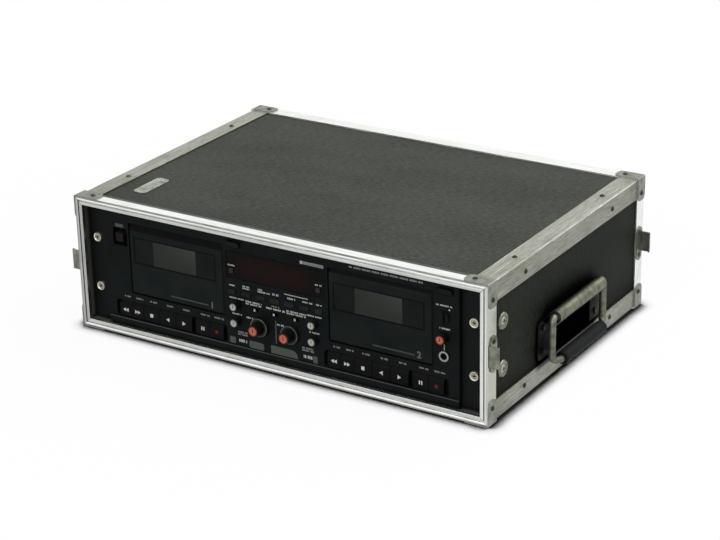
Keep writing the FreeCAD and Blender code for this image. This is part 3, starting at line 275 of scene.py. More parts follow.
def laminate():
    """Dark grained plastic laminate on the boards, greyer on their inner faces, its sides painted darker
    than its top as painted shade, with painted shade where parts stand close and a painted shadow behind
    each handle.
    """
    skin, inner_skin = 0.3, 2.9
    gloss, handle_shadow_share = 0.04, 0.85
    finish = Finish("grained_laminate", (58, 60, 56), 0.55, specular=gloss)
    aside = finish.away(finish.x)
    is_side = finish.past(aside, board_high[0] - skin)
    top_grain = finish.noise(1.5, (4.5, 1, 1), 5.0)
    side_grain = finish.noise(0.8, (1, 4, 10), 4.0)
    grain = finish.chosen(is_side, top_grain, side_grain)
    clouds = finish.noise(60, (2, 1, 1), 3.0)
    tone = finish.plus(finish.ramp(grain, 0.38, 0.62, 0.0, 0.75),
                       finish.ramp(clouds, 0.35, 0.65, 0.0, 0.25))
    # lit and shaded copies of one laminate: the sides are painted darker than the top as painted shade
    top_lit_cloth = finish.mix(tone, (44, 47, 42), (84, 87, 80))
    side_shaded_cloth = finish.mix(tone, (34, 37, 32), (56, 60, 53))
    is_inside = finish.both(finish.before(aside, board_high[0] - inner_skin),
                            finish.before(finish.z, board_high[2] - inner_skin))
    cloth = finish.mix(is_inside, finish.mix(is_side, top_lit_cloth, side_shaded_cloth), (104, 105, 98))
    # painted shade from ambient occlusion: short reach on the top, long and deep on the sides
    beside = finish.chosen(is_side, finish.occlusion_shade(6.0, 0.2, 0.5, 0.85),
                           finish.occlusion_shade(56.0, 0.03, 0.58, 0.97))
    # painted shadow of the handle: black on the side of the case behind it, with no gloss there
    grime = finish.both(painted_shadow_behind_handle(finish), is_side, handle_shadow_share)
    finish.set("Base Color", finish.mix(grime, finish.shaded(beside, cloth), painted_shadow_black))
    finish.set("Specular IOR Level", finish.ramp(grime, 0.0, handle_shadow_share, finish.both(beside, gloss), 0.0))
    finish.set("Roughness", finish.ramp(grain, 0.3, 0.7, 0.42, 0.6))
    finish.bump(grain, 0.16)
    return finish


def frame_aluminium():
    """Bright extrusion of the end frames: streaks, dull patches, dark creases and mitred corners, with
    painted shade on the side flanges and where parts stand close, and darker front posts.
    """
    crease_w, inner_bead_in, rear_line_w, skin = 1.8, 5.35, 4.4, 0.2
    finish = Finish("bright_aluminium", (226, 227, 222), 0.3, 1.0, edge=0.4)
    to_side = finish.minus(frame_high[0], finish.away(finish.x))
    to_top = finish.minus(frame_high[2] - mid_z, finish.away(finish.z, mid_z))
    from_edge = finish.maths("MINIMUM", to_side, to_top)
    from_face = finish.minus(finish.y, frame_low[1])
    upright = finish.maths("LESS_THAN", to_side, to_top)
    in_front = finish.before(finish.y, mid_y, 0.5)
    on_face = finish.before(from_face, lip_deep + 0.1, 0.2)
    streaks = finish.chosen(upright, finish.noise(0.35, (160, 1, 1), 2.0),
                            finish.noise(0.35, (1, 1, 160), 2.0))
    patches = finish.noise(26, detail=5.0)
    dull = finish.ramp(patches, 0.48, 0.7)
    metal = finish.mix(finish.ramp(streaks, 0.35, 0.65), (222, 225, 220), (252, 253, 251))
    metal = finish.mix(finish.both(dull, 0.3), metal, (160, 163, 156))

    # the front faces of the posts are darker, the left one more
    post_darkening = finish.ramp(finish.x, 0, 1, 0.6, 0.25)
    metal = finish.mix(finish.both(upright, in_front, post_darkening), metal, (96, 99, 94))
    # painted shade: the side flange of the front frame is painted darker than its front and top
    side_flange_shade = finish.both(finish.before(to_side, skin), in_front, finish.past(from_face, lip_deep, 0.2))
    metal = finish.mix(side_flange_shade, metal, finish.mix(dull, (182, 184, 175), (150, 152, 142)))

    crease = finish.both(finish.before(from_face, lip_deep, 0.3), finish.before(from_edge, crease_w, 0.3))
    crease_share = finish.chosen(upright, finish.ramp(patches, 0.3, 0.6, 0.95, 0.7), 0.3)
    metal = finish.mix(finish.both(crease, crease_share), metal, (92, 95, 90))
    inner_bead = finish.both(on_face, finish.past(from_edge, inner_bead_in, 0.15), finish.outside(upright))
    metal = finish.mix(finish.both(inner_bead, 0.5), metal, (122, 125, 118))
    rear_line = finish.both(finish.between(from_face, frame_flange - rear_line_w, frame_flange + 1.0, 0.5),
                            finish.past(finish.z, frame_high[2] - skin))
    rear_share = finish.ramp(patches, 0.3, 0.6, 0.98, 0.9)
    metal = finish.mix(finish.both(rear_line, rear_share), metal, (9, 10, 9))

    # painted shade from ambient occlusion, left off the front face of the lip
    metal = finish.shaded(finish.either(finish.occlusion_shade(5.0, 0.62, 0.35, 0.8), on_face), metal)
    mitre = finish.before(finish.away(to_side, to_top), 0.25)
    finish.set("Base Color", finish.mix(mitre, metal, (60, 60, 56)))
    finish.set("Roughness", finish.plus(finish.ramp(streaks, 0.3, 0.7, 0.24, 0.4), finish.both(dull, 0.16)))
    finish.bump(streaks, 0.02)
    return finish


def edge_aluminium():
    """Dull, scratched and stained aluminium of the long edge angles, with painted shade on their side faces
    and where parts stand close, and a painted shadow behind each handle.
    """
    finish = Finish("worn_aluminium", (165, 163, 154), 0.45, 1.0, edge=0.4)
    streaks = finish.noise(0.5, (1, 140, 1), 3.0)
    scratches = finish.ramp(finish.noise(1.6, (1, 60, 1), 1.0), 0.66, 0.72)
    stains = finish.noise(34, (1, 1.6, 1), 5.0)
    gouges = finish.ramp(finish.noise(2.2, (1, 34, 1), 2.0), 0.6, 0.68)
    dirt = finish.ramp(finish.noise(1.3, (1, 9, 1), 5.0), 0.47, 0.66)
    is_side = finish.past(finish.away(finish.x), angle_out - 0.25, 0.05)
    metal = finish.mix(finish.ramp(streaks, 0.3, 0.7), (142, 144, 132), (180, 182, 171))
    # painted shade: the side face of each angle is painted darker; the stains, scratches, gouges and dirt
    # are the metal's own
    for mask, share, tone in ((finish.ramp(stains, 0.45, 0.68), 0.55, (116, 118, 106)),
                              (scratches, 0.6, (214, 212, 204)), (gouges, 0.6, (96, 97, 84)),
                              (dirt, 0.55, (112, 114, 99)), (is_side, 0.22, (60, 60, 54))):
        metal = finish.mix(finish.both(mask, share), metal, tone)
    # painted shade from ambient occlusion
    metal = finish.shaded(finish.occlusion_shade(15.0, 0.5, 0.42, 0.84), metal)
    # painted shadow of the handle, black on the angle behind it
    finish.set("Base Color", finish.mix(finish.both(painted_shadow_behind_handle(finish), 0.97), metal, painted_shadow_black))
    finish.set("Roughness", finish.ramp(stains, 0.3, 0.7, 0.36, 0.56))
    finish.bump(streaks, 0.02)
    return finish


def plated_steel(name, light, dark, roughness=0.38, foot_x=0.0):
    """Zinc-plated pressed steel, dulled in patches, with a painted shadow up to foot_x from the middle,
    darkest at the front, and painted shade where parts stand close.
    """
    finish = Finish(name, light, roughness, 1.0, edge=0.4)
    patches = finish.noise(9, detail=5.0)
    metal = finish.mix(finish.ramp(patches, 0.4, 0.68), light, dark)
    if foot_x:
        is_foot = finish.before(finish.away(finish.x), foot_x + 0.15, 0.15)
        # painted shadow on the feet, near black at the front foot and lighter at the back
        foot_shadow_tone = finish.mix(finish.past(finish.y, mid_y, 10.0), (13, 15, 13), (62, 68, 60))
        open_share = finish.occlusion_shade(34.0, 0.12, 0.45, 0.97)
        metal = finish.shaded(open_share, finish.mix(is_foot, metal, foot_shadow_tone))
        finish.set("Metallic", finish.chosen(is_foot, 1.0, 0.2))
        finish.set("Specular IOR Level", finish.both(open_share, 0.06))
    finish.set("Base Color", metal)
    finish.set("Roughness", finish.ramp(patches, 0.35, 0.7, roughness - 0.06, roughness + 0.16))
    finish.bump(finish.noise(0.7, detail=2.0), 0.02)
    return finish


def bolt_finish():
    """Bright cup washers with dark screws in front, dull dished washers with bright heads at the sides."""
    finish = Finish("bolt_nickel", (206, 204, 190), 0.34, 1.0, edge=0.2)
    patches = finish.ramp(finish.noise(3, detail=4.0), 0.4, 0.68)
    aside = finish.away(finish.x)
    at_side = finish.past(aside, board_high[0] - 0.45, 0.05)
    bolt_up = finish.chosen(at_side, rack_screw_dz / 2, rail_bolt_dz / 2)
    up = finish.minus(finish.away(finish.z, mid_z), bolt_up)
    across = finish.chosen(at_side, finish.minus(aside, rack_screw_dx / 2),
                           finish.minus(finish.y, rail_bolt_y))
    away = finish.radius(across, up)
    cup = finish.mix(patches, (222, 218, 200), (178, 174, 156))
    front = finish.mix(finish.before(away, rack_head_r + 0.075, 0.075), cup, (150, 147, 126))
    washer = finish.mix(patches, (124, 127, 112), (92, 95, 82))
    side = finish.mix(finish.before(away, rail_head_r + 0.075, 0.075), washer, (164, 166, 152))
    finish.set("Base Color", finish.mix(at_side, front, side))
    finish.set("Roughness", finish.ramp(patches, 0, 1, 0.3, 0.46))
    return finish


def handle_finish():
    """Worn steel rod with a black moulded grip, darker at its ends, on its lower run."""
    finish = Finish("handle_steel", (118, 119, 104), 0.42, 0.9, specular=0.15, edge=0.3)
    from_mid = finish.away(finish.y, mid_y)
    is_grip = finish.both(finish.before(from_mid, grip_len / 2 + 0.04, 0.02),
                          finish.before(finish.z, grip_top, 0.5))
    patches = finish.ramp(finish.noise(7, (1, 3, 1), 5.0), 0.38, 0.66)
    steel = finish.mix(patches, (124, 127, 112), (88, 91, 77))
    rubber = finish.mix(finish.ramp(finish.noise(5, detail=3.0), 0.3, 0.7), (13, 19, 17), (22, 30, 27))
    rubber = finish.mix(finish.past(from_mid, grip_len / 2 - grip_end_w), rubber, (9, 10, 10))
    finish.set("Base Color", finish.mix(is_grip, steel, rubber))
    finish.set("Metallic", finish.chosen(is_grip, 0.9, 0.0))
    finish.set("Roughness", finish.chosen(is_grip, 0.5, 0.7))
    finish.bump(finish.both(finish.noise(0.45, detail=2.0), finish.chosen(is_grip, 0.3, 1.0)), 0.06)
    return finish


def moulding(name, light, dark, roughness=0.5):
    """Finely textured black moulded plastic."""
    finish = Finish(name, light, roughness, specular=0.06)
    clouds = finish.noise(30, detail=2.0)
    finish.set("Base Color", finish.mix(finish.ramp(clouds, 0.35, 0.65), dark, light))
    finish.set("Roughness", finish.ramp(clouds, 0.3, 0.7, roughness - 0.06, roughness + 0.08))
    finish.bump(finish.noise(0.35, detail=2.0), 0.03)
    return finish


def fascia_finish():
    """Moulding of the fascia, with a painted shadow in the reveal beside each door and a painted highlight
    along the edge of the key shelf.
    """
    door_pin_past = 2.8   # the hinge pins stand out of the door by this
    reveal_w, reveal_past = 2.6, 1.5
    finish = Finish("fascia_moulding", (18, 22, 22), 0.5, specular=0.05)
    clouds = finish.ramp(finish.noise(30, detail=2.0), 0.35, 0.65)
    moulded = finish.mix(clouds, (13, 17, 17), (21, 25, 25))
    # painted shadow in the gap beside each door
    reveal_shadows = []
    for side in sides:
        door_low, door_high = low("cassette_door_" + side), high("cassette_door_" + side)
        door_edge = door_high[0] - door_pin_past
        reveal_z = (door_low[2] - reveal_past, door_high[2] + reveal_past)
        reveal_shadows.append(finish.both(finish.between(finish.x, door_edge, door_edge + reveal_w),
                                   finish.between(finish.z, *reveal_z)))
    moulded = finish.mix(finish.either(*reveal_shadows), moulded, (3, 3, 3))
    # painted highlight along the top of the key shelf
    shelf = finish.both(finish.before(finish.y, fascia_y - 0.3), finish.past(finish.z, shelf_z - 0.4))
    finish.set("Base Color", finish.mix(shelf, moulded, (92, 98, 96)))
    finish.set("Roughness", finish.ramp(clouds, 0.0, 1.0, 0.44, 0.56))
    finish.bump(finish.noise(0.35, detail=2.0), 0.03)
    return finish


door_half = 60.0
pane_w = 104.0
pane_h = 27.5
pane_top_in = 16.0        # top of the pane below the top of its door
pane_shift = -1.9
pane_deep = 2.3           # the pane lies less far behind the fascia than this
pane_rim_w = 1.8
pane_rim_h = 1.6
clear_part = (-27.6, 27.9)
# height of the painted shadow along the top of each door
top_shadow_band = {"left": 8.0, "right": 4.6}


def door_finish(side):
    """Door moulding with a smoked pane whose middle is clear over the cassette, a painted shadow along its
    top and sides, and painted light in the clear middle.
    """
    name = "cassette_door_" + side
    finish = Finish("door_moulding_" + side, (20, 24, 24), 0.45, specular=0.05)
    door_x, top = middle(name)[0], high(name)[2]
    pane_top = top - pane_top_in
    across = finish.minus(finish.x, door_x + pane_shift)
    in_pane = finish.both(finish.between(across, -pane_w / 2, pane_w / 2),
                          finish.between(finish.z, pane_top - pane_h, pane_top),
                          finish.before(finish.y, fascia_y + pane_deep))
    rim = finish.both(finish.between(across, -pane_w / 2 - pane_rim_w, pane_w / 2 + pane_rim_w),
                      finish.between(finish.z, pane_top - pane_h - pane_rim_h, pane_top + pane_rim_h),
                      finish.outside(in_pane))
    # painted shadow along the top of the door and on its sides, where it lies back in the fascia
    band = finish.past(finish.z, top - top_shadow_band[side], 0.2)
    flank_shadow = finish.past(finish.away(finish.x, door_x), door_half - 0.25, 0.05)
    clouds = finish.ramp(finish.noise(34, detail=2.0), 0.35, 0.65)
    moulded = finish.mix(clouds, (21, 26, 26), (29, 34, 33))
    moulded = finish.mix(finish.either(rim, band, flank_shadow), moulded, (3, 3, 3))
    smoked = finish.mix(clouds, (22, 26, 25), (30, 34, 33))
    # painted light: the clear middle of the pane is painted lighter, brightest towards its upper right
    # corner, for light seen through it
    to_corner = finish.both(finish.ramp(across, *clear_part),
                            finish.ramp(finish.z, pane_top - pane_h, pane_top))
    clear = finish.mix(to_corner, (54, 58, 54), (74, 78, 73))
    in_clear = finish.both(in_pane, finish.between(across, *clear_part))
    finish.set("Base Color", finish.mix(in_clear, finish.mix(in_pane, moulded, smoked), clear))
    finish.set("Roughness", finish.chosen(in_pane, 0.48, 0.12))
    finish.bump(finish.both(finish.noise(0.35, detail=2.0), finish.outside(in_pane)), 0.03)
    return finish


def knob_finish(node, cap, rim, cap_r):
    """Fluted black knob with a coloured cap and a dark pointer across it."""
    cap_deep, rim_w, pointer_half = 0.775, 0.8, 0.42
    body = (26, 28, 27)
    finish = Finish(node, body, 0.42, specular=0.12, edge=0.25)
    x, _, z = middle(node)
    on_cap = finish.both(finish.disc(x, z, cap_r + 0.1),
                         finish.before(finish.y, low(node)[1] + cap_deep, 0.025))
    pointer = finish.both(finish.between(finish.x, x - pointer_half, x + pointer_half, 0.12),
                          finish.between(finish.z, z - cap_r * 0.3, z + cap_r * 0.55, 0.15))
    grime = finish.ramp(finish.noise(2.5, detail=3.0), 0.3, 0.75)
    lit = finish.mix(finish.both(grime, 0.25), cap, rim)
    coloured = finish.mix(finish.disc(x, z, cap_r - rim_w, 0.25), rim, lit)
    coloured = finish.mix(pointer, coloured, (48, 30, 28))
    body_tone = finish.mix(grime, body, tuple(value * 0.7 for value in body))
    finish.set("Base Color", finish.mix(on_cap, body_tone, coloured))
    finish.bump(finish.noise(0.4, detail=2.0), 0.02)
    return finish


def ring_finish():
    """Black outer knob of a level control with a painted highlight as a bright line round its rim."""
    highlight_out, highlight_in = 11.5, 9.3
    finish = Finish("ring_black", (22, 24, 23), 0.4, specular=0.1, edge=0.25)
    rim_highlights = []
    for side in sides:
        x, _, z = middle("level_ring_" + side)
        inner = finish.disc(x, z, highlight_in, 0.2)
        rim_highlights.append(finish.both(finish.disc(x, z, highlight_out), finish.outside(inner)))
    on_rim_highlight = finish.both(finish.before(finish.y, low("level_ring_left")[1] + 0.3), finish.either(*rim_highlights))
    tone = finish.ramp(finish.noise(4, detail=3.0), 0.3, 0.7)
    body = finish.mix(tone, (18, 20, 19), (28, 30, 29))
    # colour of the painted highlight round the rim
    line = finish.mix(tone, (74, 78, 73), (112, 116, 110))
    finish.set("Base Color", finish.mix(on_rim_highlight, body, line))
    finish.bump(finish.noise(0.4, detail=2.0), 0.02)
    return finish


def switch_finish():
    """Black slider with a white mark on the face of its tip."""
    half_w, half_h = 1.1, 1.3
    finish = Finish("slide_tip", (24, 25, 25), 0.45, specular=0.1, edge=0.2)
    xs = [middle(name)[0] for name in starting("slide_switch")]
    marks = [finish.between(finish.x, x - half_w, x + half_w) for x in xs]
    z = middle("slide_switch_1")[2]
    on_tip = finish.before(finish.y, low("slide_switch_1")[1] + 0.15, 0.05)
    is_mark = finish.both(on_tip, finish.either(*marks), finish.between(finish.z, z - half_h, z + half_h))
    grime = finish.ramp(finish.noise(1.5, detail=3.0), 0.4, 0.8, 0.0, 0.5)
    tip = finish.mix(grime, (214, 214, 208), (150, 148, 140))
    finish.set("Base Color", finish.mix(is_mark, (24, 25, 25), tip))
    finish.bump(finish.noise(0.3, detail=2.0), 0.02)
    return finish


def display_finish():
    """Smoked red window of the counter and level display."""
    glow_x, glow_z = (-44.0, 42.0, 12.0), (99.0, 122.0, 5.0)
    finish = Finish("smoked_red_pane", (30, 18, 18), 0.3, specular=0.04, edge=0.15)
    glow = finish.both(finish.between(finish.x, *glow_x), finish.between(finish.z, *glow_z))
    finish.set("Base Color", finish.mix(glow, (17, 18, 17), (34, 20, 19)))
    finish.set("Roughness", finish.ramp(finish.noise(14), 0.3, 0.7, 0.2, 0.3))
    return finish


def socket_finish():
    """Black socket bodies with a plated nut and plated phono rings."""
    nut_out, nut_in, nut_deep = 5.4, 3.9, 1.9
    jack_up = 16.6        # the headphone socket lies this much higher than the level knobs
    phono_deep, phono_first_x = 8.5, -119.5
    finish = Finish("socket_black", (26, 27, 27), 0.35, edge=0.2)
    x, z = middle("phones_knob")[0], middle("level_knob_left")[2] + jack_up
    is_nut = finish.both(finish.before(finish.y, low("sockets")[1] + nut_deep), finish.disc(x, z, nut_out),
                         finish.outside(finish.disc(x, z, nut_in)))
    is_ring = finish.both(finish.past(finish.y, high("sockets")[1] - phono_deep),
                          finish.past(finish.x, phono_first_x, 0.5))
    plated = finish.either(is_nut, is_ring)
    fine = finish.noise(1.2, detail=3.0)
    black = finish.mix(fine, (20, 21, 21), (32, 33, 33))
    metal = finish.mix(finish.ramp(fine, 0.3, 0.7), (128, 131, 122), (160, 163, 154))
    finish.set("Base Color", finish.mix(plated, black, metal))
    finish.set("Metallic", plated)
    finish.bump(fine, 0.02)
    return finish


def circuit_finish():
    """Green boards with dark blue parts and a laminated transformer."""
    main_y, parts_z, core_x, winding_h = -89.5, 23.6, 130.5, 60.0
    finish = Finish("circuit_board", (34, 84, 52), 0.4, edge=0.0)
    is_part = finish.both(finish.past(finish.y, main_y, 0.5), finish.past(finish.z, parts_z))
    is_core = finish.both(is_part, finish.past(finish.x, core_x, 0.5))
    winding_foot = high("circuit_boards")[2] - winding_h
    is_winding = finish.both(is_core, finish.maths("GREATER_THAN", finish.z, winding_foot))
    leaves = finish.ramp(finish.maths("SINE", finish.both(finish.y, 9.0)), -1, 1)
    core = finish.mix(leaves, (70, 72, 76), (104, 106, 108))
    traces = finish.ramp(finish.noise(2.2, (5, 1, 1), 1.0), 0.52, 0.54)
    board = finish.mix(traces, (28, 74, 46), (44, 100, 62))
    finish.set("Base Color", finish.mix(is_part, board, finish.mix(is_core, (28, 34, 58), core)))
    finish.set("Metallic", finish.both(is_winding, 0.6))
    return finish


def mechanism_finish():
    """Grey moulded and plated parts of the cassette mechanisms."""
    finish = Finish("mechanism_grey", (96, 98, 100), 0.45, edge=0.2)
    patches = finish.ramp(finish.noise(12, detail=4.0), 0.35, 0.65)
    finish.set("Base Color", finish.mix(patches, (82, 84, 86), (112, 114, 114)))
    finish.set("Metallic", finish.ramp(patches, 0, 1, 0.3, 0.6))
    finish.bump(finish.noise(0.6), 0.02)
    return finish


def ink(name, light, dark, roughness=0.55):
    """Material of screen-printed ink, thinner in places."""
    finish = Finish(name, light, roughness, specular=0.05, edge=0.0)
    finish.set("Base Color", finish.mix(finish.ramp(finish.noise(0.9, detail=3.0), 0.3, 0.75), light, dark))
    return finish.material


def dress(names, finish):
    """Gives CAD nodes a finish."""
    for name in names:
        for slot in nodes[name].material_slots:
            slot.material = finish.material


red_cap = ((232, 126, 100), (126, 58, 44))        # the cap and its rim
white_cap = ((216, 218, 212), (150, 150, 144))

dress(["case_boards"], laminate())
dress(["end_frames"], frame_aluminium())
dress(["edge_angles"], edge_aluminium())
dress(["corner_braces"], plated_steel("brace_steel", (136, 139, 130), (112, 114, 105)))
dress(["latch_keepers"], plated_steel("keeper_steel", (130, 132, 121), (96, 98, 88)))
dress(["handle_brackets"],
      plated_steel("bracket_steel", (116, 118, 102), (88, 89, 75), 0.44, board_high[0] + bracket_foot_out))
dress(["case_rivets"], plated_steel("rivet_steel", (70, 70, 60), (38, 37, 31), 0.5))
dress(["rack_bolts"], bolt_finish())
dress(starting("side_handle"), handle_finish())
dress(["rack_rails", "rack_ears", "chassis_tray", "top_cover"],
      moulding("painted_steel", (20, 24, 22), (14, 17, 16), 0.45))
dress(["front_panel"], fascia_finish())
for side in sides:
    dress(["cassette_door_" + side], door_finish(side))
    dress(["level_knob_" + side], knob_finish("level_knob_" + side, *red_cap, 5.3))
    for trim_knob in (f"trim_knob_upper_{side}", f"trim_knob_lower_{side}"):
        dress([trim_knob], knob_finish(trim_knob, *white_cap, 4.0))
dress(["phones_knob"], knob_finish("phones_knob", *red_cap, 4.6))
dress(starting("level_ring"), ring_finish())
dress(["timer_knob"], moulding("gloss_black", (22, 25, 24), (15, 17, 16), 0.3))
dress(starting("eject_button"), moulding("eject_black", (9, 10, 10), (6, 6, 6), 0.35))
dress(starting("function_button"), moulding("button_grey", (42, 45, 42), (32, 35, 32), 0.45))
dress(["function_button_5"], moulding("button_blue", (44, 45, 60), (34, 35, 48), 0.45))
dress(starting("counter_reset"), moulding("reset_grey", (58, 58, 56), (44, 44, 42), 0.45))
dress(["power_button"], moulding("power_black", (32, 31, 30), (24, 23, 22), 0.4))
dress(starting("key_"), moulding("key_black", (11, 12, 13), (7, 8, 9), 0.42))
dress(starting("slide_switch"), switch_finish())
dress(["display_window"], display_finish())
dress(["sockets"], socket_finish())
dress(["cassette_mechanisms"], mechanism_finish())
dress(["circuit_boards"], circuit_finish())


# ================================================================ making pieces
def linked(name, data):
    """A new object in the scene."""
    piece = bpy.data.objects.new(name, data)
    bpy.context.scene.collection.objects.link(piece)
    return piece


def new_piece(name, data, material):
    """An object at the origin with its place in its mesh."""
    piece = linked(name, data)
    if not data.materials:
        data.materials.append(material)
    return piece


def mesh_from(vertices, faces, name):
    """A mesh from points in millimetres, its faces turned outwards."""
    mesh = bpy.data.meshes.new(name)
    mesh.from_pydata([Vector(point) * MM for point in vertices], [], faces)
    shape = bmesh.new()
    shape.from_mesh(mesh)
    bmesh.ops.recalc_face_normals(shape, faces=shape.faces)
    shape.to_mesh(mesh)
    shape.free()
    return mesh


def skinned(rings):
    """Vertices and faces of a closed shape through rings of points, with a flat face over each end."""
    count = len(rings[0])
    vertices = [point for ring in rings for point in ring]
    faces = [tuple(range(count)), tuple(range(len(vertices) - count, len(vertices)))]
    for start in range(0, len(vertices) - count, count):
        faces += [(start + i, start + (i + 1) % count, start + count + (i + 1) % count, start + count + i)
                  for i in range(count)]
    return vertices, faces


def plates(outlines, front, back, name):
    """Flat plates with outlines in X and Z, from front to back in Y, in one mesh."""
    vertices = []
    faces = []
    for outline in outlines:
        points, walls = skinned([[(x, y, z) for x, z in outline] for y in (front, back)])
        faces += [tuple(index + len(vertices) for index in wall) for wall in walls]
        vertices += points
    return mesh_from(vertices, faces, name)


def oblong(x, z, width, height):
    """Corners of a rectangle round a middle in X and Z."""
    return [(x - width / 2, z - height / 2), (x + width / 2, z - height / 2),
            (x + width / 2, z + height / 2), (x - width / 2, z + height / 2)]


def arc(x, z, radius, start, end, steps):
    """Points on an arc, angles in degrees."""
    turns = [math.radians(start + (end - start) * step / steps) for step in range(steps + 1)]
    return [(x + radius * math.cos(turn), z + radius * math.sin(turn)) for turn in turns]


def rounded(x, z, width, height, radius, steps=5):
    """Rectangle with round corners."""
    across, up = width / 2 - radius, height / 2 - radius
    outline = []
    for sign_x, sign_z, start in ((1, 1, 0), (-1, 1, 90), (-1, -1, 180), (1, -1, 270)):
        outline += arc(x + sign_x * across, z + sign_z * up, radius, start, start + 90, steps)
    return outline


def geometry_tree(name, inputs):
    """A geometry tree with named inputs, and its input node."""
    tree = bpy.data.node_groups.new(name, "GeometryNodeTree")
    tree.interface.new_socket("Geometry", in_out="INPUT", socket_type="NodeSocketGeometry")
    tree.interface.new_socket("Geometry", in_out="OUTPUT", socket_type="NodeSocketGeometry")
    for label, kind, value in inputs:
        socket = tree.interface.new_socket(label, in_out="INPUT", socket_type="NodeSocket" + kind)
        if value is not None:
            socket.default_value = value
    return tree, tree.nodes.new("NodeGroupInput")


def spread_on_points(tree, given, shape, **sockets):
    """Ends a tree: the shape on every point, made real and given its material."""
    kinds = ("InstanceOnPoints", "RealizeInstances", "SetMaterial")
    spread, solid, paint = [tree.nodes.new("GeometryNode" + kind) for kind in kinds]
    result = tree.nodes.new("NodeGroupOutput")
    links = tree.links
    links.new(given.outputs["Geometry"], spread.inputs["Points"])
    links.new(shape, spread.inputs["Instance"])
    for socket, source in sockets.items():
        links.new(source, spread.inputs[socket])
    links.new(spread.outputs["Instances"], solid.inputs["Geometry"])
    links.new(solid.outputs["Geometry"], paint.inputs["Geometry"])
    links.new(given.outputs["Material"], paint.inputs["Material"])
    links.new(paint.outputs["Geometry"], result.inputs["Geometry"])
    return tree


def cell_tree():
    """A box on every point, as large as the point's size attribute."""
    tree, given = geometry_tree("printed_cells", [("Material", "Material", None)])
    box = tree.nodes.new("GeometryNodeMeshCube")
    box.inputs["Size"].default_value = (1, 1, 1)
    size = tree.nodes.new("GeometryNodeInputNamedAttribute")
    size.data_type = "FLOAT_VECTOR"
    size.inputs["Name"].default_value = "size"
    return spread_on_points(tree, given, box.outputs["Mesh"], Scale=size.outputs["Attribute"])


def recess_tree():
    """Two crossed bars on every point: the painted shade of the recess in a screw head, facing out along an
    axis.
    """
    inputs = [("Length", "Float", 4.4 * MM), ("Width", "Float", 1.0 * MM), ("Thickness", "Float", 0.1 * MM),
              ("Turn", "Rotation", None), ("Material", "Material", None)]
    tree, given = geometry_tree("cross_recess", inputs)
    join = tree.nodes.new("GeometryNodeJoinGeometry")
    for across, up in (("Length", "Width"), ("Width", "Length")):
        size = tree.nodes.new("ShaderNodeCombineXYZ")
        for axis, label in (("X", across), ("Y", "Thickness"), ("Z", up)):
            tree.links.new(given.outputs[label], size.inputs[axis])
        bar = tree.nodes.new("GeometryNodeMeshCube")
        tree.links.new(size.outputs[0], bar.inputs["Size"])
        tree.links.new(bar.outputs["Mesh"], join.inputs["Geometry"])
    return spread_on_points(tree, given, join.outputs["Geometry"], Rotation=given.outputs["Turn"])


def grown(name, points, tree, inputs, material, sizes=None):
    """Runs a geometry tree on points and keeps the result as a plain mesh."""
    mesh = bpy.data.meshes.new(name)
    mesh.from_pydata([Vector(point) * MM for point in points], [], [])
    if sizes:
        attribute = mesh.attributes.new("size", "FLOAT_VECTOR", "POINT")
        for item, size in zip(attribute.data, sizes):
            item.vector = Vector(size) * MM
    carrier = linked(name + "_points", mesh)
    modifier = carrier.modifiers.new("grow", "NODES")
    modifier.node_group = tree
    inputs = {"Material": material, **inputs}
    for item in tree.interface.items_tree:
        if item.item_type == "SOCKET" and item.in_out == "INPUT" and item.name in inputs:
            modifier[item.identifier] = inputs[item.name]
    bpy.context.view_layer.update()
    result = bpy.data.meshes.new_from_object(carrier.evaluated_get(bpy.context.evaluated_depsgraph_get()))
    bpy.data.objects.remove(carrier)
    return new_piece(name, result, material)


# ================================================================ printed marks
ink_out = 0.06            # a printed mark in front of the face that carries it
ink_in = 0.02             # and behind it
line_gap = 0.8
cell_gap = 0.4
word_gap = 1.7
word_cells = 5
cell_widths = [1.7, 1.1, 2.1, 1.3, 1.0, 1.8]
narrowest_cell = 0.6

white_ink = ink("white_ink", (214, 216, 212), (176, 178, 174))
bright_ink = ink("bright_ink", (244, 245, 243), (224, 226, 222))
grey_ink = ink("grey_ink", (104, 110, 103), (78, 84, 78))
dim_ink = ink("dim_ink", (160, 165, 162), (116, 121, 118))
number_ink = ink("number_ink", (132, 140, 140), (98, 105, 104))
faint_ink = ink("faint_ink", (86, 92, 86), (66, 71, 66))
black_and_shadow_ink = ink("black_and_shadow_ink", (7, 7, 7), (10, 10, 10), 0.7)
red_ink = ink("red_ink", (140, 44, 42), (112, 36, 36))
# painted shade inside the cross recesses of the screws
recess_shade_black = ink("recess_shade_black", (22, 21, 19), (34, 32, 28), 0.6)

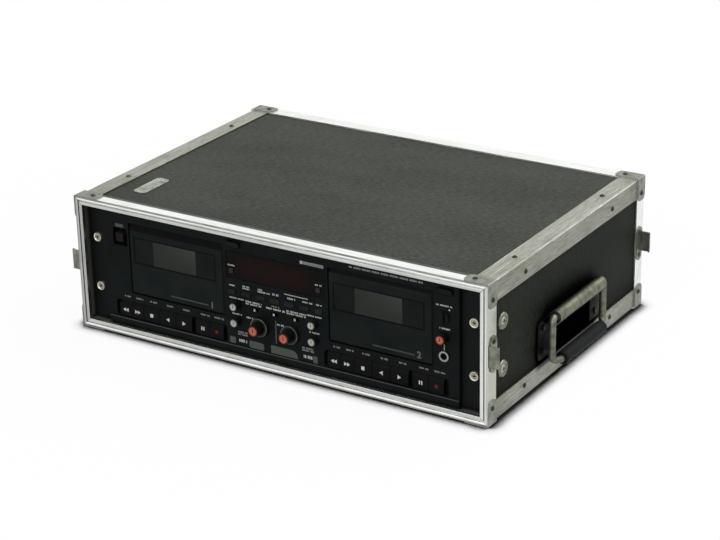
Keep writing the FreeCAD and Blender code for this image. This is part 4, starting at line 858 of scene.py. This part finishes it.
# middle in X and Z, width, height of a line and number of lines of each label on the fascia
bright_labels = [
    # beside the display and over the function buttons
    (-53.5, 109.5, 8.5, 1.6, 1), (54.5, 109.0, 8.5, 1.6, 1), (-53.5, 87.0, 7.0, 1.6, 1),
    (-36.0, 87.5, 8.5, 1.5, 2), (-17.5, 89.0, 7.0, 1.5, 1), (-13.5, 86.6, 15.0, 1.7, 1),
    (1.0, 87.3, 7.5, 2.2, 1), (20.5, 86.8, 9.5, 2.1, 1), (40.5, 86.8, 13.0, 1.6, 1),
    (54.5, 87.0, 7.0, 1.6, 1),
    # over the slide switches and the upper trim knobs
    (-48.5, 73.0, 18.0, 1.5, 1), (-27.0, 71.2, 20.0, 1.7, 2), (0.5, 70.6, 23.0, 2.0, 1),
    (26.0, 71.2, 24.0, 1.7, 2), (48.5, 73.2, 19.0, 1.5, 1),
    # over the lower trim knobs, beside the level knobs and under them
    (-48.5, 55.2, 12.0, 1.6, 1), (-32.5, 54.2, 8.5, 1.8, 1), (6.0, 54.2, 8.5, 1.8, 1),
    (48.0, 54.8, 13.0, 1.6, 1), (-42.0, 25.6, 11.0, 3.2, 1), (39.5, 25.6, 11.5, 3.4, 1),
    # at the timer and headphone knobs
    (201.0, 118.0, 18.0, 1.6, 1), (208.0, 114.5, 4.0, 1.5, 1), (201.5, 93.5, 12.0, 1.8, 1),
]
dim_labels = [(134.5, 137.3, 86.0, 2.0, 1), (-42.0, 34.0, 13.0, 1.8, 2), (39.5, 34.0, 15.0, 1.8, 2),
              (0.5, 73.6, 10.0, 1.3, 1)]
key_label_z = 45.0
key_label_shift = 5.0     # a key's label stands a little to its right
key_label_h = 1.9
key_label_ws = [8.0, 9.5, 9.0, 8.5, 8.5, 11.5, 12.0]


def label_cells(x, z, width, height, lines):
    """Middles and sizes of the plain blocks that make up one label, in words of a few blocks."""
    cells = []
    for line in range(lines):
        middle_z = z + (height + line_gap) * ((lines - 1) / 2 - line)
        edge, end = x - width / 2, x + width / 2
        turn = int(abs(x) * 3 + line * 2)
        while edge < end - narrowest_cell:
            span = min(cell_widths[turn % len(cell_widths)], end - edge)
            cells.append(((edge + span / 2, fascia_y + (ink_in - ink_out) / 2, middle_z),
                          (span, ink_out + ink_in, height)))
            turn += 1
            edge += span + (word_gap if turn % word_cells == 0 else cell_gap)
    return cells


def printed(name, places, material):
    """Labels on the fascia as rows of plain blocks."""
    cells = [cell for place in places for cell in label_cells(*place)]
    middles, sizes = zip(*cells)
    piece = grown(name, middles, cell_tree(), {}, material, sizes)
    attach(piece, "case")


def fascia_labels():
    printed("fascia_labels", bright_labels, white_ink)
    over_keys = [(middle(f"key_{name}_{side}")[0] + key_label_shift, key_label_z, width, key_label_h, 1)
                 for side in sides for name, width in zip(transport_names, key_label_ws)]
    printed("fascia_dim_labels", dim_labels + over_keys, dim_ink)


def flat_mark(name, outlines, material, body="case", face=fascia_y):
    """Printed marks with those outlines, on a face that looks forwards."""
    piece = new_piece(name, plates(outlines, face - ink_out, face + ink_in, name), material)
    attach(piece, body)
    return piece


def fascia_lines():
    """Thin lines, patches, plain bars and dark surrounds on the fascia, with painted shadow in the gaps
    beside and over the display.
    """
    white_lines = [oblong(201.0, 73.5, 0.8, 6.5), oblong(26.5, 90.8, 29.0, 0.9)]
    flat_mark("fascia_white_lines", white_lines, white_ink)
    patches = [rounded(-55.5, 24.5, 7.5, 7.5, 1.5), rounded(-25.2, 24.2, 18.5, 8.0, 2.0),
               rounded(48.0, 24.5, 5.5, 8.0, 1.5),
               [(-7.0, 20.2), (26.5, 20.2)] + arc(18.5, 21.0, 8.0, 0, 90, 8) + [(-7.0, 29.0)],
               oblong(0.0, 45.0, 1.2, 26.0), rounded(-199.0, 126.0, 11.0, 3.6, 1.7)]
    flat_mark("fascia_grey_patches", patches, grey_ink)
    flat_mark("fascia_bar", [rounded(48.5, 130.3, 25.0, 3.4, 0.4)], dim_ink)
    flat_mark("fascia_bar_end", [rounded(34.2, 130.3, 3.2, 3.4, 0.4)], white_ink)
    # painted shadow in the gaps beside and over the display, and dark surrounds round the eject buttons
    dark = [oblong(61.6, 111.0, 1.2, 42.0), oblong(2.0, 125.4, 118.0, 1.2)]
    for name in starting("eject_button"):
        x, _, z = middle(name)
        dark.append(rounded(x, z + 0.3, 21.0, 9.6, 4.7))
    flat_mark("fascia_dark_lines", dark, black_and_shadow_ink)


def triangle(x, z, width, height, direction):
    """Triangle that points left (-1) or right (1)."""
    return [(x - direction * width / 2, z - height / 2), (x + direction * width / 2, z),
            (x - direction * width / 2, z + height / 2)]


def key_symbols(name, x, z):
    """Outlines of a transport symbol."""
    symbols = {
        "rewind": [triangle(x + shift, z, 3.6, 4.4, -1) for shift in (-1.8, 1.8)],
        "fast_forward": [triangle(x + shift, z, 3.6, 4.4, 1) for shift in (-1.8, 1.8)],
        "reverse_play": [triangle(x, z, 4.2, 4.6, -1)],
        "play": [triangle(x, z, 4.2, 4.6, 1)],
        "pause": [oblong(x + shift, z, 1.4, 4.2) for shift in (-1.3, 1.3)],
        "record": [arc(x, z, 2.1, 0, 345, 23)],
        "stop": [oblong(x, z, 4.0, 4.0)],
    }
    return symbols[name]


key_symbol_up = 7.3       # middle of the symbol above the foot of the key
key_lean = 0.6 / 13.2     # how far the face leans back for each millimetre up


def key_marks():
    """The transport symbol on each key, laid on its leaning face."""
    for side in sides:
        for name in transport_names:
            key = f"key_{name}_{side}"
            face, foot = low(key)[1:]
            symbol_ink = red_ink if name == "record" else bright_ink
            outlines = key_symbols(name, middle(key)[0], foot + key_symbol_up)
            piece = flat_mark(key + "_symbol", outlines, symbol_ink, key, face)
            for vertex in piece.data.vertices:
                vertex.co.y += (vertex.co.z - foot * MM) * key_lean


door_number_size = 10.0
door_number_weight = 0.25
door_number_shift = 45.2
door_number_z = 57.6
door_line = (15.5, 56.8, 49.0, 1.7)       # middle beside the door's middle and in Z, length and thickness


def door_number(node, number):
    """A plain figure on the front of a door, as a mesh."""
    figure = bpy.data.curves.new(node + "_number", "FONT")
    figure.body = number
    figure.size = door_number_size * MM
    figure.offset = door_number_weight * MM
    figure.extrude = 0.5 * (ink_out + ink_in) * MM
    figure.align_x = figure.align_y = "CENTER"
    carrier = linked(node + "_number", figure)
    mesh = bpy.data.meshes.new_from_object(carrier)
    bpy.data.objects.remove(carrier)
    place_y = low(node)[1] - (ink_out - ink_in) / 2
    place = Vector((middle(node)[0] + door_number_shift, place_y, door_number_z)) * MM
    mesh.transform(Matrix.Translation(place) @ Matrix.Rotation(math.radians(90), 4, "X"))
    return mesh


def door_marks():
    """Deck number and thin line on each door."""
    shift, line_z, length, thickness = door_line
    for side, number in zip(sides, "12"):
        node = "cassette_door_" + side
        piece = new_piece(node + "_number", door_number(node, number), number_ink)
        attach(piece, node)
        line = oblong(middle(node)[0] + shift, line_z, length, thickness)
        flat_mark(node + "_line", [line], faint_ink, node, low(node)[1])


# ================================================================ small metal details
def tag_plate():
    """Bare metal tag riveted to the top of the case, with raised edges."""
    x, y, width, length, corner_r = -201.7, -102.4, 16.5, 48.0, 5.0
    thickness, rim, sunk, foot = 0.7, 1.2, 0.3, 0.05
    rivet_r, rivet_in, rivet_shift, rivet_sunk = 2.0, 6.0, 1.5, 0.1
    board_top = board_high[2]
    top = board_top + thickness
    outline = rounded(x, y, width, length, corner_r, 6)
    inner = rounded(x, y, width - 2 * rim, length - 2 * rim, corner_r - 1.1, 6)
    levels = ((outline, board_top - foot), (outline, top), (inner, top), (inner, top - sunk))
    rings = [[(a, b, z) for a, b in ring] for ring, z in levels]
    metal = plated_steel("tag_metal", (172, 176, 166), (124, 128, 118), 0.34).material
    piece = new_piece("tag_plate", mesh_from(*skinned(rings), "tag_plate"), metal)
    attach(piece, "case")
    rivet = bpy.data.meshes.new("tag_rivet")
    shape = bmesh.new()
    bmesh.ops.create_uvsphere(shape, u_segments=24, v_segments=12, radius=rivet_r * MM)
    bmesh.ops.scale(shape, vec=(1, 1, 0.5), verts=shape.verts)
    place = Vector((x + rivet_shift, y + length / 2 - rivet_in, top - rivet_sunk)) * MM
    bmesh.ops.translate(shape, vec=place, verts=shape.verts)
    shape.to_mesh(rivet)
    shape.free()
    for face in rivet.polygons:
        face.use_smooth = True
    piece = new_piece("tag_rivet", rivet, metal)
    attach(piece, "case")


def screw_recesses():
    """Cross recesses in the rack screws at the front and in the bolts of the rails at the sides, drawn as
    dark bars of painted shade.
    """
    tree = recess_tree()
    ear_face = low("rack_ears")[1]
    front = [(sx * rack_screw_dx / 2, ear_face - rack_head_h, mid_z + sz * rack_screw_dz / 2)
             for sx in (-1, 1) for sz in (-1, 1)]
    beside = [(sx * (board_high[0] + rail_head_h), rail_bolt_y, mid_z + sz * rail_bolt_dz / 2)
              for sx in (-1, 1) for sz in (-1, 1)]
    for name, points, turn in (("rack_screw_recesses", front, 0.0), ("rail_bolt_recesses", beside, 90.0)):
        piece = grown(name, points, tree, {"Turn": (0.0, 0.0, math.radians(turn))}, recess_shade_black)
        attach(piece, "case")


fascia_labels()
fascia_lines()
key_marks()
door_marks()
tag_plate()
screw_recesses()


# ================================================================ floor, light and camera
floor_half = 6000.0
floor_near = 0.96         # share of plain white beside the case, where the soft shadow lies
floor_near_m = 0.35       # up to this far out, in metres
floor_far_m = 0.9         # from this far out, in metres, the floor is plain white
floor_as_reflector = 0.88
contact_reach_m = 0.018   # the painted contact shadow along the foot of the case fades over this, in metres
contact_shadow_tone = (40, 40, 38)
contact_open = (0.64, 0.92)       # openness of a spot that starts and ends the painted contact shadow
world_strength = 0.15
lamp_aim_z = 0.07         # the lamps look at this height in the middle of the case, in metres


def white_for_sight(light, strength_else):
    """1 for rays that the camera, a reflection or a clear pane sends, else the given strength."""
    path = light.node("LightPath").outputs
    seen = light.either(*[path[f"Is {ray} Ray"] for ray in ("Camera", "Glossy", "Transmission")])
    return light.ramp(seen, 0.0, 1.0, strength_else, 1.0)


def studio_floor():
    """Plain pale floor that keeps the soft shadow, bright to the camera and duller as a reflector, with a
    painted contact shadow along the foot of the case, from ambient occlusion and seen by the camera only.
    """
    corners = [(x, y, 0) for x, y in oblong(0, 0, 2 * floor_half, 2 * floor_half)]
    mesh = mesh_from(corners, [(0, 1, 2, 3)], "floor")
    material = bpy.data.materials.new("floor_paper")
    material.use_nodes = True
    material.node_tree.nodes.clear()
    light = Nodes(material.node_tree)
    by_camera = light.node("LightPath").outputs["Is Camera Ray"]

    paper = light.joined("BsdfDiffuse", light.ramp(by_camera, 0.0, 1.0, floor_as_reflector, 1.0))
    glow = light.joined("Emission", (1, 1, 1, 1), white_for_sight(light, 0.0))
    away = light.node("VectorMath", operation="LENGTH")
    light.feed(away.inputs[0], light.node("TexCoord").outputs["Object"])
    white_share = light.ramp(away.outputs["Value"], floor_near_m, floor_far_m, floor_near, 1.0)
    lit = light.joined("MixShader", white_share, paper, glow)

    # painted contact shadow: darker where ambient occlusion finds the case near, for camera rays only
    shade = light.joined("BsdfDiffuse", screen(*contact_shadow_tone))
    nearby = light.node("AmbientOcclusion", samples=8)
    nearby.inputs["Distance"].default_value = contact_reach_m
    open_share = light.either(light.ramp(nearby.outputs["AO"], *contact_open),
                              light.ramp(by_camera, 0.0, 1.0, 1.0, 0.0))
    surface = light.joined("MixShader", open_share, shade, lit)
    light.feed(light.node("OutputMaterial").inputs["Surface"], surface)
    new_piece("studio_floor", mesh, material)


def studio_world():
    world = bpy.data.worlds.new("studio")
    bpy.context.scene.world = world
    world.use_nodes = True
    light = Nodes(world.node_tree)
    background = light.tree.nodes["Background"].inputs
    background["Color"].default_value = (1, 1, 1, 1)
    light.feed(background["Strength"], white_for_sight(light, world_strength))


def soft_lamp(name, place, size, power):
    """Square area lamp in metres, turned towards the case."""
    data = bpy.data.lights.new(name, "AREA")
    data.shape = "SQUARE"
    data.size = size
    data.energy = power
    lamp = linked(name, data)
    lamp.location = place
    aim = Vector((0, 0, lamp_aim_z)) - Vector(place)
    lamp.rotation_euler = aim.to_track_quat("-Z", "Y").to_euler()


camera_azimuth = math.radians(32.45)
camera_elevation = math.radians(22.58)
camera_roll = math.radians(-1.22)
camera_distance = 2313.39
camera_target = Vector((-3.43, 4.6, 52.44))
camera_lens = 105.35


def studio_camera():
    """Camera at the height and bearing from which the case is shown."""
    back = Vector((math.sin(camera_azimuth) * math.cos(camera_elevation),
                   -math.cos(camera_azimuth) * math.cos(camera_elevation), math.sin(camera_elevation)))
    level = (-back).cross(Vector((0, 0, 1))).normalized()
    upright = level.cross(-back)
    across = level * math.cos(camera_roll) + upright * math.sin(camera_roll)
    up = upright * math.cos(camera_roll) - level * math.sin(camera_roll)
    data = bpy.data.cameras.new("camera")
    data.lens = camera_lens
    data.sensor_width = 36.0
    data.clip_end = 50.0
    camera = linked("camera", data)
    turn = Matrix((across, up, back)).transposed().to_4x4()
    camera.matrix_world = Matrix.Translation((camera_target + back * camera_distance) * MM) @ turn
    bpy.context.scene.camera = camera


studio_floor()
studio_world()
soft_lamp("top_lamp", (0.9, 0.8, 2.1), 2.6, 50)
soft_lamp("front_lamp", (0.2, -2.4, 1.1), 2.2, 36)
studio_camera()
bpy.context.scene.view_settings.view_transform = "Standard"
